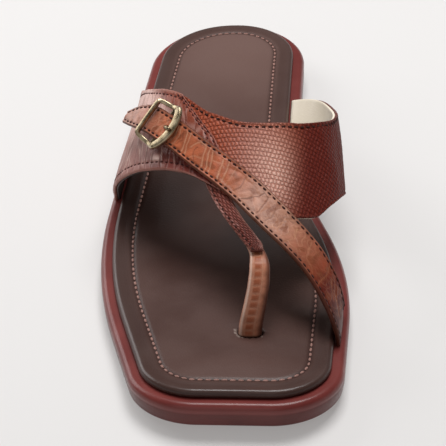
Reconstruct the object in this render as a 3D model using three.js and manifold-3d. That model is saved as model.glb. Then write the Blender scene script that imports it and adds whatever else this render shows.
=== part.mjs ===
// Palm slipper for the right foot: square-toed sole, leather insole, instep band with a tongue,
// a cross strap that runs to a buckle on the outer side, and a toe post.
// Millimetres, +Z up, the toe towards -Y, the inner side of the foot towards +X.
import * as THREE from "three";
import { mergeVertices } from "three/addons/utils/BufferGeometryUtils.js";
import Module from "manifold-3d";

const wasm = await Module();
wasm.setup();

// Stations along the slipper are measured from the back of the heel; x from the heel's middle line.
const ORIGIN_STATION = 148;
const ORIGIN_X = 1.1;

const CLEARANCE = 0.3;
const RIM = 5.4;
const INSOLE_THICKNESS = 4.5;
const WALL = 2.2;
const PANEL_STEP = 0.7;
const INNER_INSET = 2.7;
const STRAP_THICKNESS = 2.2;
const STRAP_ROOT = 5;
const PANEL_EDGE = 0.006;
const TONGUE_DEPTH = 0.3;
const SLOT_LENGTH = 12.6;
const SLOT_WIDTH = 8;
const POST_STATION = 248;
const POST_X = 15.2;

const BUCKLE_BAR_RADIUS = 0.8;
const BUCKLE_HALF_WIDTH = 9.5;
const BUCKLE_RISE = 2.75;
const BUCKLE_DIP = 3.3;
const BUCKLE_SHOULDER = 6;
const BUCKLE_HALF_THICKNESS = 1.1;
const PRONG_RADIUS = 0.8;

// The plan outline of the sole is a polygon with rounded corners. Steps count the facets of a
// corner's arc and of the straight stretch that follows it.
const OUTLINE = [
  { x: -39.5, s: 0, radius: 40, arc: 12, straight: 9 },
  { x: -56.4, s: 198, radius: 220, arc: 7, straight: 3 },
  { x: -27.6, s: 294.5, radius: 31.5, arc: 8, straight: 4 },
  { x: 53.3, s: 296, radius: 29.5, arc: 8, straight: 3 },
  { x: 58, s: 201, radius: 160, arc: 5, straight: 1 },
  { x: 32, s: 130, radius: 170, arc: 5, straight: 5 },
  { x: 34, s: 0, radius: 34.5, arc: 12, straight: 0 },
];

// Height of the tread, and of the ledge on which the insole and the upper stand.
const SIDE_VIEW = [
  { s: 0, tread: 1.4, ledge: 16 },
  { s: 6, tread: 0, ledge: 16 },
  { s: 60, tread: 0, ledge: 16 },
  { s: 80, tread: 0, ledge: 15.7 },
  { s: 112, tread: 4.5, ledge: 14.4 },
  { s: 150, tread: 0.5, ledge: 12.3 },
  { s: 160, tread: 0, ledge: 11.9 },
  { s: 200, tread: 0, ledge: 11 },
  { s: 232, tread: 0, ledge: 11 },
  { s: 262, tread: 1.4, ledge: 12 },
  { s: 297, tread: 5, ledge: 16.3 },
];

// Rings of the sole's wall from the tread's edge to the ledge: inset from the outline, and height as
// a share of the wall plus a distance.
const SOLE_WALL = [
  { inset: 2.2, share: 0, rise: 0 },
  { inset: 0.7, share: 0, rise: 1.2 },
  { inset: 0.2, share: 0.42, rise: 0 },
  { inset: 0, share: 1, rise: -3.2 },
  { inset: 0.5, share: 1, rise: -1.3 },
  { inset: 1.5, share: 1, rise: -0.3 },
  { inset: 2.9, share: 1, rise: 0 },
];
const INSOLE_WALL = [
  { inset: 0.6, rise: CLEARANCE },
  { inset: 0, rise: 1.1 },
  { inset: 0, rise: 3.1 },
  { inset: 0.5, rise: 4.1 },
  { inset: 1.7, rise: INSOLE_THICKNESS },
];

// The form that the upper follows. At each station an arch rises from the sole's outer side to a crest
// and falls to its inner side. Inset is the outer foot's distance from the sole's edge; lean tilts the
// outer foot towards the middle, and flare spreads the inner foot away from it.
const FORM = [
  { s: 40, crestX: -6, crest: 118, inset: 1, lean: 14, flare: 36 },
  { s: 70, crestX: -3, crest: 106, inset: 1, lean: 15, flare: 37 },
  { s: 100, crestX: 1, crest: 93, inset: 1, lean: 15, flare: 38 },
  { s: 120, crestX: 3.8, crest: 83.7, inset: 1.2, lean: 12, flare: 37.5 },
  { s: 140, crestX: 6, crest: 74, inset: 1.7, lean: 6.5, flare: 36 },
  { s: 150, crestX: 7, crest: 69, inset: 1.9, lean: 3.5, flare: 34 },
  { s: 170, crestX: 9, crest: 59, inset: 2, lean: 0.5, flare: 26 },
  { s: 190, crestX: 11, crest: 50, inset: 2, lean: -1, flare: 16 },
  { s: 210, crestX: 13, crest: 42, inset: 2, lean: -1, flare: 8 },
  { s: 233, crestX: 15, crest: 34, inset: 2, lean: 0, flare: 3 },
  { s: 255, crestX: 15, crest: 28, inset: 2, lean: 0, flare: 2 },
];

// Edges of the instep band: t runs over the arch from the outer foot (0) by the crest to the inner foot (1).
const BAND_REAR = [
  { t: 0, s: 64 },
  { t: 0.1, s: 107 },
  { t: 0.222, s: 134.5 },
  { t: 0.36, s: 154.5 },
  { t: 0.436, s: 166.5 },
  { t: 0.52, s: 171.8 },
  { t: 0.62, s: 168 },
  { t: 0.728, s: 156.5 },
  { t: 0.84, s: 131 },
  { t: 0.914, s: 105.5 },
  { t: 0.96, s: 88.5 },
  { t: 1, s: 73 },
];
const BAND_FRONT = [
  { t: 0, s: 149 },
  { t: 0.128, s: 167.5 },
  { t: 0.248, s: 179.5 },
  { t: 0.362, s: 190.5 },
  { t: 0.42, s: 198.5 },
  { t: 0.48, s: 208 },
  { t: 0.52, s: 213.5 },
  { t: 0.56, s: 215.5 },
  { t: 0.61, s: 213.5 },
  { t: 0.66, s: 210.5 },
  { t: 0.714, s: 206 },
  { t: 0.762, s: 195.5 },
  { t: 0.826, s: 182 },
  { t: 0.92, s: 165 },
  { t: 1, s: 152 },
];
// The tongue, a strip that comes out under the band and runs to the toe post: its two edges on the form.
const TONGUE = [
  { outerT: 0.401, outerS: 191, innerT: 0.452, innerS: 196 },
  { outerT: 0.422, outerS: 203.5, innerT: 0.475, innerS: 208.5 },
  { outerT: 0.446, outerS: 213.4, innerT: 0.498, innerS: 217.4 },
  { outerT: 0.471, outerS: 221.7, innerT: 0.523, innerS: 223.3 },
  { outerT: 0.493, outerS: 228, innerT: 0.543, innerS: 227.8 },
  { outerT: 0.506, outerS: 231, innerT: 0.546, innerS: 230.3 },
];
// Where the outer panel ends, across the band from its rear edge (0) to its front edge (1).
const PANEL_SEAM = [
  { v: 0, t: 0.36 },
  { v: 0.16, t: 0.405 },
  { v: 0.34, t: 0.442 },
  { v: 0.6, t: 0.455 },
  { v: 1, t: 0.446 },
];

// The cross strap from the inner forefoot to the buckle: place on the form, height of its underside
// over the form, and half its width.
const STRAP = [
  { t: 1, s: 241.5, under: -2.2, half: 10.8 },
  { t: 0.92, s: 241.8, under: -2.1, half: 10.6 },
  { t: 0.852, s: 239, under: -1.7, half: 9.8 },
  { t: 0.785, s: 234.4, under: -1.1, half: 9 },
  { t: 0.733, s: 230.7, under: -0.5, half: 8.4 },
  { t: 0.689, s: 227.3, under: 0, half: 8.2 },
  { t: 0.637, s: 222.4, under: -0.1, half: 8 },
  { t: 0.59, s: 217.2, under: -0.15, half: 7.9 },
  { t: 0.55, s: 211.5, under: -0.15, half: 7.7 },
  { t: 0.514, s: 205.3, under: -0.15, half: 7.4 },
  { t: 0.483, s: 199.5, under: -0.1, half: 7.1 },
  { t: 0.452, s: 193.7, under: 0.4, half: 6.9 },
  { t: 0.414, s: 186.7, under: 1.1, half: 6.7 },
  { t: 0.386, s: 181, under: 1.8, half: 6.5 },
  { t: 0.362, s: 175.9, under: 2.6, half: 6.4 },
  { t: 0.341, s: 171.7, under: 3.4, half: 6.4 },
  { t: 0.3176, s: 167, under: 4, half: 6.4 },
];

// The strap's tail past the buckle's bar: reach, drop towards the foot, sway towards the toe, half width.
const TAIL = [
  { reach: 4, drop: 0.2, aside: 0, half: 6.4 },
  { reach: 9, drop: 0.9, aside: 0.5, half: 6.4 },
  { reach: 15, drop: 2.5, aside: 2, half: 5.6 },
  { reach: 20, drop: 4.6, aside: 3.6, half: 4.4 },
  { reach: 24.5, drop: 6.6, aside: 5.2, half: 2.9 },
];

// The toe post from the slot up to the underside of the tongue.
const POST = [
  { x: 15.2, s: 248.2, z: 11.85, wide: 4.9, thick: 3 },
  { x: 15.8, s: 247.2, z: 19, wide: 4.9, thick: 2.9 },
  { x: 17.8, s: 243.6, z: 28, wide: 4.7, thick: 2.8 },
  { x: 19.3, s: 239, z: 35.5, wide: 4.5, thick: 2.6 },
  { x: 19.5, s: 234.2, z: 39.8, wide: 4.2, thick: 2.2 },
  { x: 18.5, s: 228.5, z: 41.6, wide: 3.4, thick: 1.4 },
  { x: 15.4, s: 222.5, z: 43.8, wide: 3, thick: 1.1 },
];

// The wire of the buckle frame in plan: along the strap towards its tail, and across it.
const BUCKLE_PLAN = [
  { along: 6.4, across: 0, half: 1.15 },
  { along: 6.4, across: 4.2, half: 1.15 },
  { along: 6.4, across: 7.4, half: 1.15 },
  { along: 6, across: 8.5, half: 1.15 },
  { along: 4.9, across: 9, half: 1.15 },
  { along: 2.4, across: 9.25, half: 1.15 },
  { along: 0, across: BUCKLE_HALF_WIDTH, half: 1.2 },
  { along: -2.6, across: 9.8, half: 1.25 },
  { along: -4.8, across: 9.9, half: 1.35 },
  { along: -6.5, across: 9.3, half: 1.5 },
  { along: -8, across: 7, half: 1.6 },
  { along: -9.2, across: 3.7, half: 1.75 },
];
const BUCKLE_BOW = { along: -9.7, across: 0, half: 1.8 };

// The prong from the bar, under the strap and up through its hole, to its rest on the bowed side.
const PRONG = [
  { along: -1.95, up: -2.3 },
  { along: -3.4, up: -2.3 },
  { along: -4.6, up: -1.5 },
  { along: -5.3, up: 0.3 },
  { along: -6.1, up: 2.2 },
  { along: -7.4, up: 4.5 },
  { along: -9.2, up: 5.25 },
  { along: -11, up: 5.2 },
];
const PRONG_HOLE = { along: -5.2, half: 2.2, across: 1.5 };

const MATERIALS = {
  sole: { color: 0x6b2f2a, roughness: 0.45, metalness: 0 },
  insole: { color: 0x54413a, roughness: 0.5, metalness: 0 },
  upper: { color: 0x8a4a30, roughness: 0.45, metalness: 0 },
  toe_post: { color: 0x9a6340, roughness: 0.5, metalness: 0 },
  buckle_frame: { color: 0xb09a6c, roughness: 0.35, metalness: 1 },
  buckle_prong: { color: 0xb8a274, roughness: 0.35, metalness: 1 },
};

// Monotone cubic interpolation of one column of a table.
function column(rows, key, value) {
  const xs = rows.map((row) => row[key]);
  const ys = rows.map((row) => row[value]);
  const count = xs.length;
  const slopes = xs.slice(1).map((x, i) => (ys[i + 1] - ys[i]) / (x - xs[i]));
  const tangents = ys.map((y, i) => {
    if (i === 0) return slopes[0];
    if (i === count - 1) return slopes[count - 2];
    if (slopes[i - 1] * slopes[i] <= 0) return 0;
    const before = xs[i] - xs[i - 1];
    const after = xs[i + 1] - xs[i];
    const a = 2 * after + before;
    const b = after + 2 * before;
    return (a + b) / (a / slopes[i - 1] + b / slopes[i]);
  });
  return (x) => {
    const at = Math.min(Math.max(x, xs[0]), xs[count - 1]);
    let i = 0;
    while (i < count - 2 && at > xs[i + 1]) i += 1;
    const h = xs[i + 1] - xs[i];
    const q = (at - xs[i]) / h;
    const q2 = q * q;
    const q3 = q2 * q;
    return (
      (2 * q3 - 3 * q2 + 1) * ys[i] +
      (q3 - 2 * q2 + q) * h * tangents[i] +
      (3 * q2 - 2 * q3) * ys[i + 1] +
      (q3 - q2) * h * tangents[i + 1]
    );
  };
}

const tread = column(SIDE_VIEW, "s", "tread");
const ledge = column(SIDE_VIEW, "s", "ledge");

function place(x, s, z) {
  return new THREE.Vector3(x - ORIGIN_X, ORIGIN_STATION - s, z);
}

// One closed ring of plan points, the outline moved inwards by an inset. It starts at the middle of the
// heel, runs along the outer side to the middle of the toe and back along the inner side.
function planRing(inset) {
  const corners = OUTLINE.map((corner) => ({ ...corner, at: new THREE.Vector2(corner.x, corner.s) }));
  const arcs = corners.map((corner, i) => {
    const last = corners[(i + corners.length - 1) % corners.length].at;
    const next = corners[(i + 1) % corners.length].at;
    const back = last.clone().sub(corner.at).normalize();
    const on = next.clone().sub(corner.at).normalize();
    const half = Math.acos(back.dot(on)) / 2;
    const toCentre = back.clone().add(on).normalize().multiplyScalar(corner.radius / Math.sin(half));
    const centre = corner.at.clone().add(toCentre);
    const reach = corner.radius / Math.tan(half);
    const start = corner.at.clone().addScaledVector(back, reach).sub(centre).angle();
    const end = corner.at.clone().addScaledVector(on, reach).sub(centre).angle();
    let sweep = end - start;
    if (sweep > Math.PI) sweep -= 2 * Math.PI;
    if (sweep < -Math.PI) sweep += 2 * Math.PI;
    const radius = corner.radius - inset * (sweep < 0 ? 1 : -1);
    return Array.from({ length: corner.arc + 1 }, (_, k) => {
      const angle = start + (sweep * k) / corner.arc;
      return new THREE.Vector2(Math.cos(angle), Math.sin(angle)).multiplyScalar(radius).add(centre);
    });
  });
  const points = [];
  arcs.forEach((arc, i) => {
    const next = arcs[(i + 1) % arcs.length][0];
    const end = arc[arc.length - 1];
    points.push(...arc.slice(0, -1));
    for (let k = 0; k < corners[i].straight; k += 1)
      points.push(end.clone().lerp(next, k / corners[i].straight));
  });
  return points;
}

// A triangle list as a geometry, turned so that its faces point out.
function geometryOf(points, triangles) {
  let volume = 0;
  for (const [a, b, c] of triangles)
    volume += points[a].dot(points[b].clone().cross(points[c])) / 6;
  const faces = volume < 0 ? triangles.map(([a, b, c]) => [a, c, b]) : triangles;
  const geometry = new THREE.BufferGeometry().setFromPoints(points);
  geometry.setIndex(faces.flat());
  return geometry;
}

// A solid between rings with equal counts, closed at both ends by strips from the outer side to the inner.
function loftRings(rings) {
  const count = rings[0].length;
  const points = rings.flat();
  const triangles = [];
  for (let r = 0; r + 1 < rings.length; r += 1)
    for (let i = 0; i < count; i += 1) {
      const j = (i + 1) % count;
      const low = r * count;
      triangles.push([low + i, low + j, low + count + j], [low + i, low + count + j, low + count + i]);
    }
  const top = (rings.length - 1) * count;
  for (let i = 0; i < count / 2; i += 1) {
    const far = (count - i) % count;
    const farNext = count - i - 1;
    for (const [base, flip] of [[0, true], [top, false]])
      for (const face of [[i, i + 1, farNext], [i, farNext, far]]) {
        if (new Set(face).size < 3) continue;
        const [a, b, c] = face.map((k) => base + k);
        triangles.push(flip ? [a, c, b] : [a, b, c]);
      }
  }
  return geometryOf(points, triangles);
}

// A solid sheet over a grid, from its low face to its high face.
function sheet(rows, columns, at) {
  const points = [];
  for (let i = 0; i <= rows; i += 1)
    for (let j = 0; j <= columns; j += 1) points.push(...at(i / rows, j / columns));
  const id = (i, j, side) => (i * (columns + 1) + j) * 2 + side;
  const triangles = [];
  const quad = (a, b, c, d) => triangles.push([a, b, c], [a, c, d]);
  for (let i = 0; i < rows; i += 1)
    for (let j = 0; j < columns; j += 1) {
      quad(id(i, j, 1), id(i + 1, j, 1), id(i + 1, j + 1, 1), id(i, j + 1, 1));
      quad(id(i, j, 0), id(i, j + 1, 0), id(i + 1, j + 1, 0), id(i + 1, j, 0));
    }
  for (let i = 0; i < rows; i += 1) {
    quad(id(i, 0, 0), id(i + 1, 0, 0), id(i + 1, 0, 1), id(i, 0, 1));
    quad(id(i, columns, 1), id(i + 1, columns, 1), id(i + 1, columns, 0), id(i, columns, 0));
  }
  for (let j = 0; j < columns; j += 1) {
    quad(id(0, j, 1), id(0, j + 1, 1), id(0, j + 1, 0), id(0, j, 0));
    quad(id(rows, j, 0), id(rows, j + 1, 0), id(rows, j + 1, 1), id(rows, j, 1));
  }
  return geometryOf(points, triangles);
}

// A solid bar through stations, each with a middle point, a side direction and an up direction. The
// section is an octagon; a closed bar joins its last station to its first.
function bar(stations, closed) {
  const quarter = [[1, 0.45], [0.5, 1]];
  const upperHalf = [...quarter, ...quarter.map(([a, b]) => [-a, b]).reverse()];
  const octagon = [...upperHalf, ...upperHalf.map(([a, b]) => [-a, -b])];
  const points = stations.flatMap(({ middle, side, up, wide, thick }) =>
    octagon.map(([a, b]) =>
      middle.clone().addScaledVector(side, a * wide).addScaledVector(up, b * thick),
    ),
  );
  const triangles = [];
  const last = closed ? stations.length : stations.length - 1;
  for (let i = 0; i < last; i += 1)
    for (let k = 0; k < 8; k += 1) {
      const low = i * 8;
      const high = ((i + 1) % stations.length) * 8;
      const on = (k + 1) % 8;
      triangles.push([low + k, low + on, high + on], [low + k, high + on, high + k]);
    }
  if (!closed) {
    const end = (stations.length - 1) * 8;
    for (let k = 1; k < 7; k += 1) {
      triangles.push([0, k + 1, k]);
      triangles.push([end, end + k, end + k + 1]);
    }
  }
  return geometryOf(points, triangles);
}

function solid(geometry) {
  const bare = geometry.index ? geometry.clone() : geometry;
  bare.deleteAttribute("normal");
  bare.deleteAttribute("uv");
  const merged = mergeVertices(bare, 1e-4);
  return new wasm.Manifold(
    new wasm.Mesh({
      numProp: 3,
      vertProperties: new Float32Array(merged.attributes.position.array),
      triVerts: new Uint32Array(merged.index.array),
    }),
  );
}

function geometryFromSolid(made) {
  const mesh = made.getMesh();
  const geometry = new THREE.BufferGeometry();
  geometry.setAttribute("position", new THREE.BufferAttribute(new Float32Array(mesh.vertProperties), 3));
  geometry.setIndex(new THREE.BufferAttribute(new Uint32Array(mesh.triVerts), 1));
  return geometry;
}

// The sides of the sole's outline, and of the form's inner foot.
const soleRingPlan = planRing(0);
const halfRing = soleRingPlan.length / 2;
const sideRows = (points) =>
  points.filter((p) => p.y > 30 && p.y < 262).map((p) => ({ s: p.y, x: p.x })).sort((a, b) => a.s - b.s);
const soleOuterX = column(sideRows(soleRingPlan.slice(0, halfRing)), "s", "x");
const innerX = column(sideRows(planRing(INNER_INSET).slice(halfRing)), "s", "x");
const outerInset = column(FORM, "s", "inset");
const outerX = (s) => soleOuterX(s) + outerInset(s);
const crestX = column(FORM, "s", "crestX");
const crest = column(FORM, "s", "crest");
const lean = column(FORM, "s", "lean");
const flare = column(FORM, "s", "flare");

// A point on the form's arch at a station. Each side is one cubic curve: the knee's height and the
// shoulder's reach are shares of the crest's.
const OUTER_SIDE = { kneeRise: 0.55, shoulder: 0.5 };
const INNER_SIDE = { kneeRise: 0.48, shoulder: 0.55, spread: 0.62 };
function form(t, s) {
  const low = ledge(s);
  const top = crest(s);
  const foot = t < 0.5 ? outerX(s) : innerX(s);
  const reach = crestX(s) - foot;
  const q = Math.min(Math.max(t < 0.5 ? 2 * t : 2 - 2 * t, 0), 1);
  const knee = t < 0.5 ? lean(s) : flare(s);
  const kneeRise = top * (t < 0.5 ? OUTER_SIDE.kneeRise : INNER_SIDE.kneeRise);
  const shoulder =
    t < 0.5
      ? crestX(s) - OUTER_SIDE.shoulder * reach
      : crestX(s) - INNER_SIDE.shoulder * reach + INNER_SIDE.spread * flare(s);
  const weights = [(1 - q) ** 3, 3 * (1 - q) ** 2 * q, 3 * (1 - q) * q * q, q ** 3];
  const xs = [foot, foot + knee, shoulder, crestX(s)];
  const zs = [0, kneeRise, top, top];
  const x = weights.reduce((sum, w, i) => sum + w * xs[i], 0);
  const z = weights.reduce((sum, w, i) => sum + w * zs[i], 0);
  return place(x, s, low + z);
}

// The form's outward direction, from its slopes along and across.
function outward(t, s) {
  const step = 0.002;
  const across = form(Math.min(t + step, 1), s).sub(form(Math.max(t - step, 0), s));
  const along = form(t, s - 0.2).sub(form(t, s + 0.2));
  return across.cross(along).normalize();
}

// A point off the form. Beyond either foot the form runs straight on below the ledge.
function offForm(t, s, height) {
  const inside = Math.min(Math.max(t, 0), 1);
  const point = form(inside, s);
  if (t !== inside) {
    const toFoot = point.clone().sub(form(inside === 0 ? 0.02 : 0.98, s)).normalize();
    point.addScaledVector(toFoot, Math.abs(t - inside) * 100);
  }
  return point.addScaledVector(outward(inside, s), height);
}

const rearEdge = column(BAND_REAR, "t", "s");
const frontEdge = column(BAND_FRONT, "t", "s");
const seam = column(PANEL_SEAM, "v", "t");

function bandStation(t, v) {
  const inside = Math.min(Math.max(t, 0), 1);
  return rearEdge(inside) + (frontEdge(inside) - rearEdge(inside)) * v;
}

const FOOT = 0.05;
const band = sheet(56, 12, (u, v) => {
  const t = -FOOT + u * (1 + 2 * FOOT);
  const s = bandStation(t, v);
  return [offForm(t, s, -WALL), offForm(t, s, 0)];
});
const panel = sheet(24, 12, (u, v) => {
  const across = PANEL_EDGE + (1 - 2 * PANEL_EDGE) * v;
  const t = -FOOT + u * (seam(across) + FOOT);
  const s = bandStation(t, across);
  return [offForm(t, s, -1), offForm(t, s, PANEL_STEP)];
});

const tongueRows = TONGUE.map((row, i) => ({ ...row, u: i / (TONGUE.length - 1) }));
const [outerT, outerS, innerT, innerS] = ["outerT", "outerS", "innerT", "innerS"].map((key) =>
  column(tongueRows, "u", key),
);
const tongue = sheet(16, 4, (u, v) => {
  const t = outerT(u) + (innerT(u) - outerT(u)) * v;
  const s = outerS(u) + (innerS(u) - outerS(u)) * v;
  return [offForm(t, s, -WALL - TONGUE_DEPTH), offForm(t, s, -TONGUE_DEPTH)];
});

// The strap's middle line on the form, then its tail past the buckle.
const strapRows = [];
const strapTable = STRAP.map((row, i) => ({ ...row, u: i }));
const strapT = column(strapTable, "u", "t");
const strapS = column(strapTable, "u", "s");
const strapUnder = column(strapTable, "u", "under");
const strapHalf = column(strapTable, "u", "half");
const strapSteps = 3;
for (let i = 0; i <= (STRAP.length - 1) * strapSteps; i += 1) {
  const u = i / strapSteps;
  const up = outward(strapT(u), strapS(u));
  const middle = offForm(strapT(u), strapS(u), strapUnder(u) + STRAP_THICKNESS / 2);
  strapRows.push({ middle, up, half: strapHalf(u) });
}
const footDirection = strapRows[0].middle.clone().sub(strapRows[1].middle).normalize();
strapRows.unshift({
  middle: strapRows[0].middle.clone().addScaledVector(footDirection, STRAP_ROOT),
  up: strapRows[0].up.clone(),
  half: strapRows[0].half,
});
const barRow = strapRows[strapRows.length - 1];
const tailStart = barRow.middle.clone().sub(strapRows[strapRows.length - 4].middle).normalize();
const tailUp = barRow.up.clone().addScaledVector(tailStart, -barRow.up.dot(tailStart)).normalize();
const tailFront = tailUp.clone().cross(tailStart);
for (const row of TAIL)
  strapRows.push({
    middle: barRow.middle
      .clone()
      .addScaledVector(tailStart, row.reach)
      .addScaledVector(tailUp, -row.drop)
      .addScaledVector(tailFront, row.aside),
    up: tailUp.clone().addScaledVector(tailStart, row.drop / 12).normalize(),
    half: row.half,
  });
strapRows.forEach((row, i) => {
  const before = strapRows[Math.max(i - 1, 0)].middle;
  const after = strapRows[Math.min(i + 1, strapRows.length - 1)].middle;
  row.along = after.clone().sub(before).normalize();
  row.across = row.along.clone().cross(row.up).normalize();
  row.up = row.across.clone().cross(row.along).normalize();
});
const strap = sheet(strapRows.length - 1, 4, (u, v) => {
  const row = strapRows[Math.round(u * (strapRows.length - 1))];
  const point = row.middle.clone().addScaledVector(row.across, (2 * v - 1) * row.half);
  return [-0.5, 0.5].map((k) => point.clone().addScaledVector(row.up, k * STRAP_THICKNESS));
});

// The buckle lies square to the strap at its bar.
const buckleAlong = strapRows[strapRows.length - 1 - TAIL.length].along.clone();
const buckleAcross = strapRows[strapRows.length - 1 - TAIL.length].across.clone();
const buckleUp = strapRows[strapRows.length - 1 - TAIL.length].up.clone();
function onBuckle(along, across, up) {
  return barRow.middle
    .clone()
    .addScaledVector(buckleAlong, along)
    .addScaledVector(buckleAcross, across)
    .addScaledVector(buckleUp, up);
}
const prongHole = sheet(1, 1, (u, v) =>
  [-6, 6].map((up) =>
    onBuckle(
      PRONG_HOLE.along + (2 * u - 1) * PRONG_HOLE.half,
      (2 * v - 1) * PRONG_HOLE.across,
      up,
    ),
  ),
);

// Everything of the upper below the ledge is cut away.
const bench = sheet(40, 1, (u, v) => {
  const s = 30 + u * 240;
  const x = (2 * v - 1) * 90;
  return [place(x, s, -20), place(x, s, ledge(s) + CLEARANCE)];
});

const upper = solid(band)
  .add(solid(panel))
  .add(solid(tongue))
  .add(solid(strap))
  .subtract(solid(bench))
  .subtract(solid(prongHole));

function soleRing({ inset, share, rise }) {
  return planRing(inset).map((p) =>
    place(p.x, p.y, tread(p.y) + share * (ledge(p.y) - tread(p.y)) + rise),
  );
}
const sole = loftRings(SOLE_WALL.map(soleRing));
const insoleBlank = loftRings(
  INSOLE_WALL.map(({ inset, rise }) =>
    planRing(RIM + inset).map((p) => place(p.x, p.y, ledge(p.y) + rise)),
  ),
);
const slot = new THREE.Shape();
slot.absellipse(0, 0, SLOT_LENGTH / 2, SLOT_WIDTH / 2, 0, 2 * Math.PI);
const slotCutter = new THREE.ExtrudeGeometry(slot, { depth: 30, bevelEnabled: false, curveSegments: 12 });
slotCutter.translate(POST_X - ORIGIN_X, ORIGIN_STATION - POST_STATION, 2);
const insole = solid(insoleBlank).subtract(solid(slotCutter));

const postRows = POST.map((row) => ({ ...row, middle: place(row.x, row.s, row.z) }));
const post = bar(
  postRows.map((row, i) => {
    const before = postRows[Math.max(i - 1, 0)].middle;
    const after = postRows[Math.min(i + 1, postRows.length - 1)].middle;
    const along = i === 0 ? new THREE.Vector3(0, 0, 1) : after.clone().sub(before).normalize();
    const side = new THREE.Vector3(1, 0, 0);
    const up = along.clone().cross(side).normalize();
    return { middle: row.middle, side, up, wide: row.wide, thick: row.thick };
  }),
  false,
);

function buckleHeight(along) {
  return BUCKLE_RISE - BUCKLE_DIP * (1 - Math.min(1, Math.abs(along) / BUCKLE_SHOULDER) ** 2);
}
const buckleLoop = [
  ...BUCKLE_PLAN,
  BUCKLE_BOW,
  ...BUCKLE_PLAN.slice(1).reverse().map((row) => ({ ...row, across: -row.across })),
];
const frame = bar(
  buckleLoop.map((row, i) => {
    const before = buckleLoop[(i + buckleLoop.length - 1) % buckleLoop.length];
    const after = buckleLoop[(i + 1) % buckleLoop.length];
    const run = new THREE.Vector2(after.along - before.along, after.across - before.across).normalize();
    const side = buckleAlong.clone().multiplyScalar(run.y).addScaledVector(buckleAcross, -run.x);
    return {
      middle: onBuckle(row.along, row.across, buckleHeight(row.along)),
      side,
      up: buckleUp,
      wide: row.half,
      thick: BUCKLE_HALF_THICKNESS,
    };
  }),
  true,
);
const barUp = -STRAP_THICKNESS / 2 - CLEARANCE - BUCKLE_BAR_RADIUS;
const centreBar = bar(
  [-BUCKLE_HALF_WIDTH, BUCKLE_HALF_WIDTH].map((across) => ({
    middle: onBuckle(0, across, barUp),
    side: buckleAlong,
    up: buckleUp,
    wide: BUCKLE_BAR_RADIUS,
    thick: BUCKLE_BAR_RADIUS,
  })),
  false,
);
const prong = bar(
  PRONG.map((row, i) => {
    const before = PRONG[Math.max(i - 1, 0)];
    const after = PRONG[Math.min(i + 1, PRONG.length - 1)];
    const run = new THREE.Vector2(after.along - before.along, after.up - before.up).normalize();
    const up = buckleAlong.clone().multiplyScalar(-run.y).addScaledVector(buckleUp, run.x);
    return {
      middle: onBuckle(row.along, 0, row.up),
      side: buckleAcross,
      up,
      wide: PRONG_RADIUS,
      thick: PRONG_RADIUS,
    };
  }),
  false,
);

const slipper = new THREE.Group();
slipper.name = "palm_slipper";
function add(name, geometry) {
  const mesh = new THREE.Mesh(geometry, new THREE.MeshStandardMaterial(MATERIALS[name]));
  mesh.name = name;
  slipper.add(mesh);
}
add("sole", sole);
add("insole", geometryFromSolid(insole));
add("upper", geometryFromSolid(upper));
add("toe_post", post);
add("buckle_frame", geometryFromSolid(solid(frame).add(solid(centreBar))));
add("buckle_prong", prong);

export default slipper;
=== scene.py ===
# Palm slipper for the right foot: the finish of its sole, insole, straps, toe post and buckle.
# Shapes are worked out in millimetres. Stations run from the back of the heel towards the toe.
import math

import bmesh
import bpy
import numpy as np
from mathutils import Matrix, Vector


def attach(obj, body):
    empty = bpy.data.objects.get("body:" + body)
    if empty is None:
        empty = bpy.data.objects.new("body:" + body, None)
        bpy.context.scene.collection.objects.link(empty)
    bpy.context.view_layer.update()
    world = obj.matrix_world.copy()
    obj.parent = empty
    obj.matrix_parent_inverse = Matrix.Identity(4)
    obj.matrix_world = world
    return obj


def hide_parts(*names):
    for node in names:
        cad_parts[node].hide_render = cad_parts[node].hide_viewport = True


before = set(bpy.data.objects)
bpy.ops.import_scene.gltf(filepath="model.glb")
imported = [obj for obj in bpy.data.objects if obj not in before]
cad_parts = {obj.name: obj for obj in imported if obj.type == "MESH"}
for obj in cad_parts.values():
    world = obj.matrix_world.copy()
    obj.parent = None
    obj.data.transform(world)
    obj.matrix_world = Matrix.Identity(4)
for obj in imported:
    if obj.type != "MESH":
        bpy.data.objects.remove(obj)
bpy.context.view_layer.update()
print("frame loaded:", sorted(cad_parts))

mm = 0.001
slipper = {
    "originStation": 148.0,
    "originX": 1.1,
    "rim": 5.4,             # from the sole's edge to the insole's edge
    "insoleThickness": 4.5,
    "ringHalf": 340,        # steps along each side of the plan outline
    "cornerSteps": 120,
    # corners of the sole's plan: x, station, radius
    "corners": [
        (-39.5, 0, 40), (-56.4, 198, 220), (-27.6, 294.5, 31.5), (53.3, 296, 29.5),
        (58, 201, 160), (32, 130, 170), (34, 0, 34.5),
    ],
    # station, height of the tread, height of the ledge under insole and upper
    "sideView": [
        (0, 1.4, 16), (6, 0, 16), (60, 0, 16), (80, 0, 15.7), (112, 4.5, 14.4), (150, 0.5, 12.3),
        (160, 0, 11.9), (200, 0, 11), (232, 0, 11), (262, 1.4, 12), (297, 5, 16.3),
    ],
}


# Curves

def cubicBetween(q, step, first, last, firstSlope, lastSlope):
    # from first to last with the given slopes, for q from 0 to 1
    return (
        (2 * q**3 - 3 * q**2 + 1) * first + (q**3 - 2 * q**2 + q) * step * firstSlope
        + (3 * q**2 - 2 * q**3) * last + (q**3 - q**2) * step * lastSlope
    )


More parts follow.
